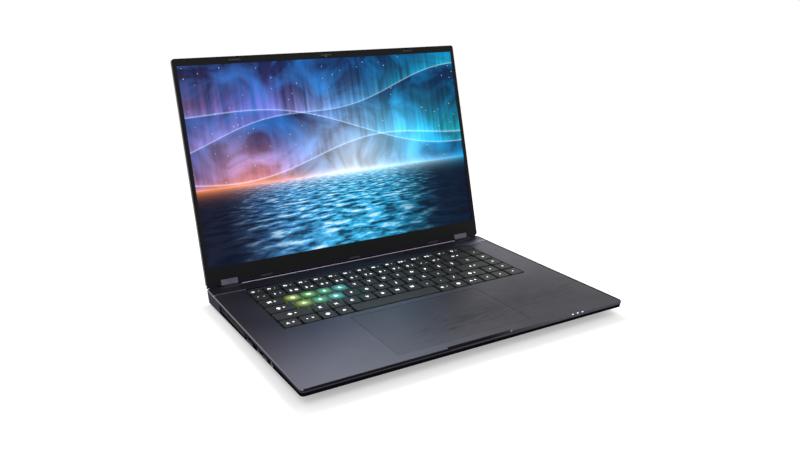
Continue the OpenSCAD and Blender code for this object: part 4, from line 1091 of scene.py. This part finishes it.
@dataclass
class Lid(Assembly):
    """The lid: cover, bezel, display, camera, bumpers and hinges."""

    face: float = 2.8 * MM
    guard_x: Span = (162.1 * MM, 177.4 * MM)
    guard_y: Span = (6.0 * MM, 7.9 * MM)
    guard_z: Span = (2.4 * MM, 4.5 * MM)
    guard_round: float = 0.3 * MM
    lens_z: float = 244.0 * MM
    lens_ring: tuple[Span, ...] = (
        (1.22, -0.05), (1.62, -0.05), (1.62, 0.04), (1.52, 0.1), (1.32, 0.1), (1.22, 0.04))
    hole_x: Span = (-17 * MM, 17 * MM)
    hole_y: Span = (0.2 * MM, -0.015 * MM)
    hole_radius: float = 0.42 * MM

    def shell(self) -> None:
        """Dresses the cover, the bezel, the display, the camera and the bumpers."""
        # The cover gets painted shade on its edges and sill.
        self.dress(LidFinish(
            "anodised_lid", (0.085, 0.084, 0.104), (0.083, 0.082, 0.1015), 0.4, 1.0, grain=0.22 * MM,
            depth=0.006 * MM, mottle=60 * MM, gloss_spread=0.008, outward=self.places.lid_out()), "lid_cover")
        self.dress(Finish(
            "bezel_plastic", (0.006, 0.0065, 0.007), (0.007, 0.0075, 0.008), 0.5, depth=0.012 * MM, specular=0.1),
            "display_bezel")
        self.dress(PictureFinish(
            "display_picture", (0.001, 0.001, 0.0015), (0.0015, 0.0015, 0.002), 0.3, origin=tuple(self.places.hinge),
            depth=0.0005 * MM, specular=0.06), "display_panel")
        self.dress(Finish(
            "camera_glass", (0.01, 0.01, 0.014), (0.02, 0.015, 0.03), 0.08, coat=1.0, gloss_spread=0.03),
            "camera_module")
        self.dress(Finish("bumper_rubber", (0.014, 0.014, 0.014), (0.02, 0.02, 0.02), 0.75), "lid_bumpers")

    def guards(self) -> None:
        """Adds the guards under the lid's back corners."""
        rubber = Finish("guard_rubber", (0.009, 0.009, 0.01), (0.013, 0.013, 0.014), 0.7).material(self.effects)
        guards = Shape(self.places.lid_matrix())
        for side in (-1, 1):
            near, far = ((side * x, y, z) for x, y, z in zip(self.guard_x, self.guard_y, self.guard_z))
            guards.box(near, far, self.guard_round)
        guards.piece("lid_corner_guards", "lid", rubber, "rubber")

    def lens(self) -> None:
        """Adds the ring round the lens and the microphone holes beside it."""
        metal = Finish("lens_ring_metal", (0.16, 0.16, 0.18), (0.12, 0.12, 0.14), 0.25, 1.0, depth=0.001 * MM)
        ring = Shape(self.places.lid_matrix())
        ring.lathe(self.lens_ring, (0.0, self.face, self.lens_z), (0.0, -1.0, 0.0), 40)
        ring.piece("lens_ring", "lid", metal.material(self.effects), "bezel_plastic", smooth=True)
        mesh = Finish(
            "microphone_mesh", (0.003, 0.003, 0.003), (0.006, 0.006, 0.006), 0.9, specular=0.1, grain=0.1 * MM)
        holes = Shape(self.places.lid_matrix())
        for x in self.hole_x:
            back, front = ((x, self.face + y, self.lens_z) for y in self.hole_y)
            holes.rod(back, front, self.hole_radius)
        holes.piece("microphone_holes", "lid", mesh.material(self.effects), "bezel_plastic")

    def hinges(self) -> None:
        """Dresses the hinge arms, brackets and pins."""
        front = tuple(-part for part in self.places.lid_out())
        # Painted shade on every face of the hinge arms but those that face forward.
        self.dress(LidFinish(
            "hinge_metal", (0.12, 0.117, 0.15), (0.11, 0.107, 0.14), 0.38, 1.0, grain=0.2 * MM, depth=0.006 * MM,
            outward=front, turned=(0.9, 0.95)), "hinge_arms")
        self.dress(RibbedFinish(
            "hinge_steel", (0.02, 0.02, 0.024), (0.016, 0.016, 0.02), 0.45, specular=0.2, depth=0.003 * MM,
            pitch=0.4 * MM, across=(0.0, 1.0, 0.0)), "hinge_brackets", "hinge_pins")

    def build(self) -> None:
        """Builds the whole sub-assembly."""
        self.shell()
        self.guards()
        self.lens()
        self.hinges()


@dataclass(frozen=True)
class Bar:
    """A bar in a socket: how far in it starts and ends, its half width, its lowest and highest Z, its rounding."""

    inward: Span
    half: float
    heights: Span
    rounding: float

    def row(self, shape: Shape, mouth: float, side: int, middle: float, base: float, count: int = 1,
            pitch: float = 0.0) -> None:
        """Adds a row of such bars to a shape.

        Args:
            shape: the shape.
            mouth: the mouth's X.
            side: 1 for a socket on the right and -1 for one on the left.
            middle: the row's middle Y.
            base: the Z that the bar's own are counted from.
            count: how many there are.
            pitch: how far apart they are.
        """
        near, far = (mouth - side * x for x in self.inward)
        low, high = (base + z for z in self.heights)
        for index in range(count):
            y = middle + (index - (count - 1) / 2) * pitch
            shape.box((near, y - self.half, low), (far, y + self.half, high), self.rounding)


@dataclass
class Openings(Assembly):
    """Sockets and vents."""

    tongue: Bar = Bar((0.97 * MM, 9.8 * MM), 5.63 * MM, (3.07 * MM, 4.83 * MM), 0.12 * MM)
    contact: Bar = Bar((1.6 * MM, 9.3 * MM), 0.5 * MM, (3.0 * MM, 3.09 * MM), 0.02 * MM)
    contact_pitch: float = 2.5 * MM
    wire: Bar = Bar((3.95 * MM, 12 * MM), 0.23 * MM, (-1.23 * MM, -0.87 * MM), 0.05 * MM)
    wire_pitch: float = 1.02 * MM
    jack_up: float = 3.2 * MM
    jack_ring: tuple[Span, ...] = (
        (1.78, -0.6), (2.15, -0.6), (2.15, 0.02), (2.05, 0.06), (1.86, 0.06), (1.78, 0.02))

    def shells(self) -> None:
        """Dresses the sockets and the grilles."""
        self.dress(RibbedFinish(
            "socket_steel", (0.5, 0.5, 0.52), (0.42, 0.42, 0.45), 0.25, 1.0, depth=0.002 * MM, pitch=0.6 * MM),
            "usb_a_ports", "usb_c_port", "hdmi_port")
        self.dress(Finish("socket_plastic", (0.012, 0.012, 0.013), (0.018, 0.018, 0.02), 0.45),
                   "ethernet_port", "audio_jack", "power_socket")
        self.dress(Finish("grille_plastic", (0.005, 0.005, 0.006), (0.008, 0.008, 0.009), 0.5, specular=0.25),
                   "side_grilles", "rear_grilles")

    def tongues(self) -> None:
        """Adds the plastic tongues of the flat sockets, their gilt contacts and the network socket's."""
        plastic = Finish("tongue_plastic", (0.012, 0.014, 0.02), (0.018, 0.02, 0.028), 0.4).material(self.effects)
        gilt = RibbedFinish(
            "contact_gilt", (0.85, 0.55, 0.18), (0.7, 0.43, 0.13), 0.28, 1.0, depth=0.001 * MM,
            pitch=0.35 * MM).material(self.effects)
        tongues, contacts = Shape(), Shape()
        for low, high in islands("usb_a_ports"):
            side = 1 if low.x > 0 else -1
            where = (high.x if side > 0 else low.x, side, (low.y + high.y) / 2, low.z)
            self.tongue.row(tongues, *where)
            self.contact.row(contacts, *where, 4, self.contact_pitch)
        low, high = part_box("ethernet_port")
        self.wire.row(contacts, low.x, -1, (low.y + high.y) / 2, high.z, 8, self.wire_pitch)
        tongues.piece("socket_tongues", "base", plastic, "socket_plastic")
        contacts.piece("socket_contacts", "base", gilt, "socket_metal")

    def jack(self) -> None:
        """Adds the metal ring in the mouth of the headphone socket."""
        low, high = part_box("audio_jack")
        metal = Finish("jack_steel", (0.45, 0.45, 0.47), (0.38, 0.38, 0.4), 0.25, 1.0, depth=0.001 * MM)
        ring = Shape()
        ring.lathe(self.jack_ring, (low.x, (low.y + high.y) / 2, low.z + self.jack_up), (-1.0, 0.0, 0.0), 36)
        ring.piece("jack_ring", "base", metal.material(self.effects), "socket_metal", smooth=True)

    def build(self) -> None:
        """Builds the whole sub-assembly."""
        self.shells()
        self.tongues()
        self.jack()


@dataclass
class Insides(Assembly):
    """Everything inside the base."""

    def build(self) -> None:
        """Dresses the boards, the battery, the speakers and the cooling."""
        self.dress(BoardFinish("circuit_board", (0.01, 0.07, 0.035), (0.008, 0.055, 0.03), 0.35, depth=0.05 * MM),
                   "mainboard", "memory_modules", "ssd")
        self.dress(Finish(
            "battery_foil", (0.02, 0.02, 0.022), (0.03, 0.03, 0.032), 0.3, depth=0.2 * MM, mottle=6 * MM), "battery")
        self.dress(Finish("speaker_plastic", (0.015, 0.015, 0.016), (0.02, 0.02, 0.022), 0.6), "speakers")
        self.dress(Finish("fan_plastic", (0.012, 0.012, 0.013), (0.018, 0.018, 0.02), 0.4),
                   "fan_housings", "left_fan_rotor", "right_fan_rotor")
        self.dress(Finish("heat_copper", (0.75, 0.32, 0.15), (0.6, 0.24, 0.11), 0.35, 1.0, mottle=9 * MM),
                   "heat_pipes", "heat_sinks")


@dataclass
class Studio(Assembly):
    """Floor, lights, world and camera."""

    focal_px: float = 761.776
    image_width_px: float = 800.0
    sensor_mm: float = 36.0
    clip: Span = (0.05, 50.0)
    turn: float = -0.5306375
    rise: float = 0.2995539
    roll: float = -0.0056883
    distance: float = 0.799455
    shift_right: float = -0.0101001
    shift_up: float = 0.0727238
    aim_back: float = 0.5 * MM
    ambient: float = 0.7
    floor_half: float = 6.0
    paper: float = 0.8
    paper_rough: float = 0.9
    lift: float = 0.35
    melt: Span = (0.45, 0.9)
    lamps: tuple[tuple[str, Point, Point, float, float], ...] = (
        ("back_lamp", (0.1, 0.3, 0.6), (-0.15, -0.17, 0.0), 0.3, 2.5),
        ("key_lamp", (-0.9, -1.2, 1.6), (0.0, -0.05, 0.0), 1.0, 10.0))

    def camera(self) -> None:
        """Places the camera."""
        data = bpy.data.cameras.new("camera")
        data.sensor_width = self.sensor_mm
        data.lens = self.focal_px / self.image_width_px * data.sensor_width
        data.clip_start, data.clip_end = self.clip
        back = Vector((math.sin(self.turn) * math.cos(self.rise), -math.cos(self.turn) * math.cos(self.rise),
                       math.sin(self.rise)))
        right = Vector((math.cos(self.turn), math.sin(self.turn), 0.0))
        up = back.cross(right)
        level, tilt = math.cos(self.roll), math.sin(self.roll)
        right, up = right * level + up * tilt, up * level - right * tilt
        target = Vector((0.0, self.places.centre_y + self.aim_back, self.places.deck_z))
        spot = target + back * self.distance + right * self.shift_right + up * self.shift_up
        made = add_object("camera", data)
        made.matrix_world = Matrix((*((right[i], up[i], back[i], spot[i]) for i in range(3)), (0.0, 0.0, 0.0, 1.0)))
        bpy.context.scene.camera = made

    @staticmethod
    def shown(graph: Graph) -> Socket:
        """A mask that is 1 for what the camera, a reflection or a look through glass sees."""
        path = graph.fill("ShaderNodeLightPath")
        return graph.most(path["Is Camera Ray"], graph.most(path["Is Glossy Ray"], path["Is Transmission Ray"]))

    def floor_paper(self) -> bpy.types.Material:
        """Builds the floor's material, which melts into the backdrop far from the object.

        Returns:
            The material.
        """
        on = Surface("floor_paper", self.effects)
        on.inputs["Base Color"].default_value = (self.paper, self.paper, self.paper, 1.0)
        on.inputs["Roughness"].default_value = self.paper_rough
        on.inputs["Specular IOR Level"].default_value = 0.0
        lift = on.fill("ShaderNodeEmission", WHITE, on.times(self.shown(on), self.lift))[0]
        lit = on.fill("ShaderNodeAddShader", on.shader.outputs[0], lift)[0]
        far = on.times(on.range(on.length(on.where), *self.melt), self.shown(on))
        above = on.fill("ShaderNodeMixShader", far, lit, on.fill("ShaderNodeEmission", WHITE, 1.0)[0])[0]
        below = on.fill("ShaderNodeNewGeometry")["Backfacing"]
        whole = on.fill("ShaderNodeMixShader", below, above, on.fill("ShaderNodeBsdfTransparent")[0])[0]
        on.plug(on.tree.nodes["Material Output"].inputs["Surface"], whole)
        return on.material

    def floor(self) -> None:
        """Adds the white floor, which keeps the object's soft shadow and is clear from below."""
        mesh = bmesh.new()
        bmesh.ops.create_grid(mesh, x_segments=1, y_segments=1, size=self.floor_half)
        data = bpy.data.meshes.new("floor")
        mesh.to_mesh(data)
        mesh.free()
        data.materials.append(self.floor_paper())
        made = add_object("floor", data)

    def light(self) -> None:
        """Adds the soft square lamps and the world."""
        for name, spot, target, size, power in self.lamps:
            data = bpy.data.lights.new(name, "AREA")
            data.size = size
            data.energy = power
            made = add_object(name, data)
            made.location = spot
            made.rotation_mode = "QUATERNION"
            made.rotation_quaternion = (Vector(target) - Vector(spot)).to_track_quat("-Z", "Y")
        world = bpy.data.worlds.new("studio")
        world.use_nodes = True
        graph = Graph(world.node_tree)
        air = world.node_tree.nodes["Background"]
        graph.plug(air.inputs["Color"], WHITE)
        graph.plug(air.inputs["Strength"], graph.range(self.shown(graph), 0.0, 1.0, self.ambient, 1.0))
        bpy.context.scene.world = world

    def build(self) -> None:
        """Sets up the whole studio."""
        bpy.context.scene.view_settings.view_transform = "Standard"
        self.camera()
        self.floor()
        self.light()


def main() -> None:
    """Builds the sub-assemblies in order, then the studio."""
    logging.basicConfig(level=logging.INFO, format="%(name)s: %(message)s")
    places = Places()
    effects = Effects()
    for part in (Case, Keyboard, Lid, Openings, Insides, Studio):
        log.info("building %s", part.__name__)
        part(places, effects).build()


if __name__ == "__main__":
    main()
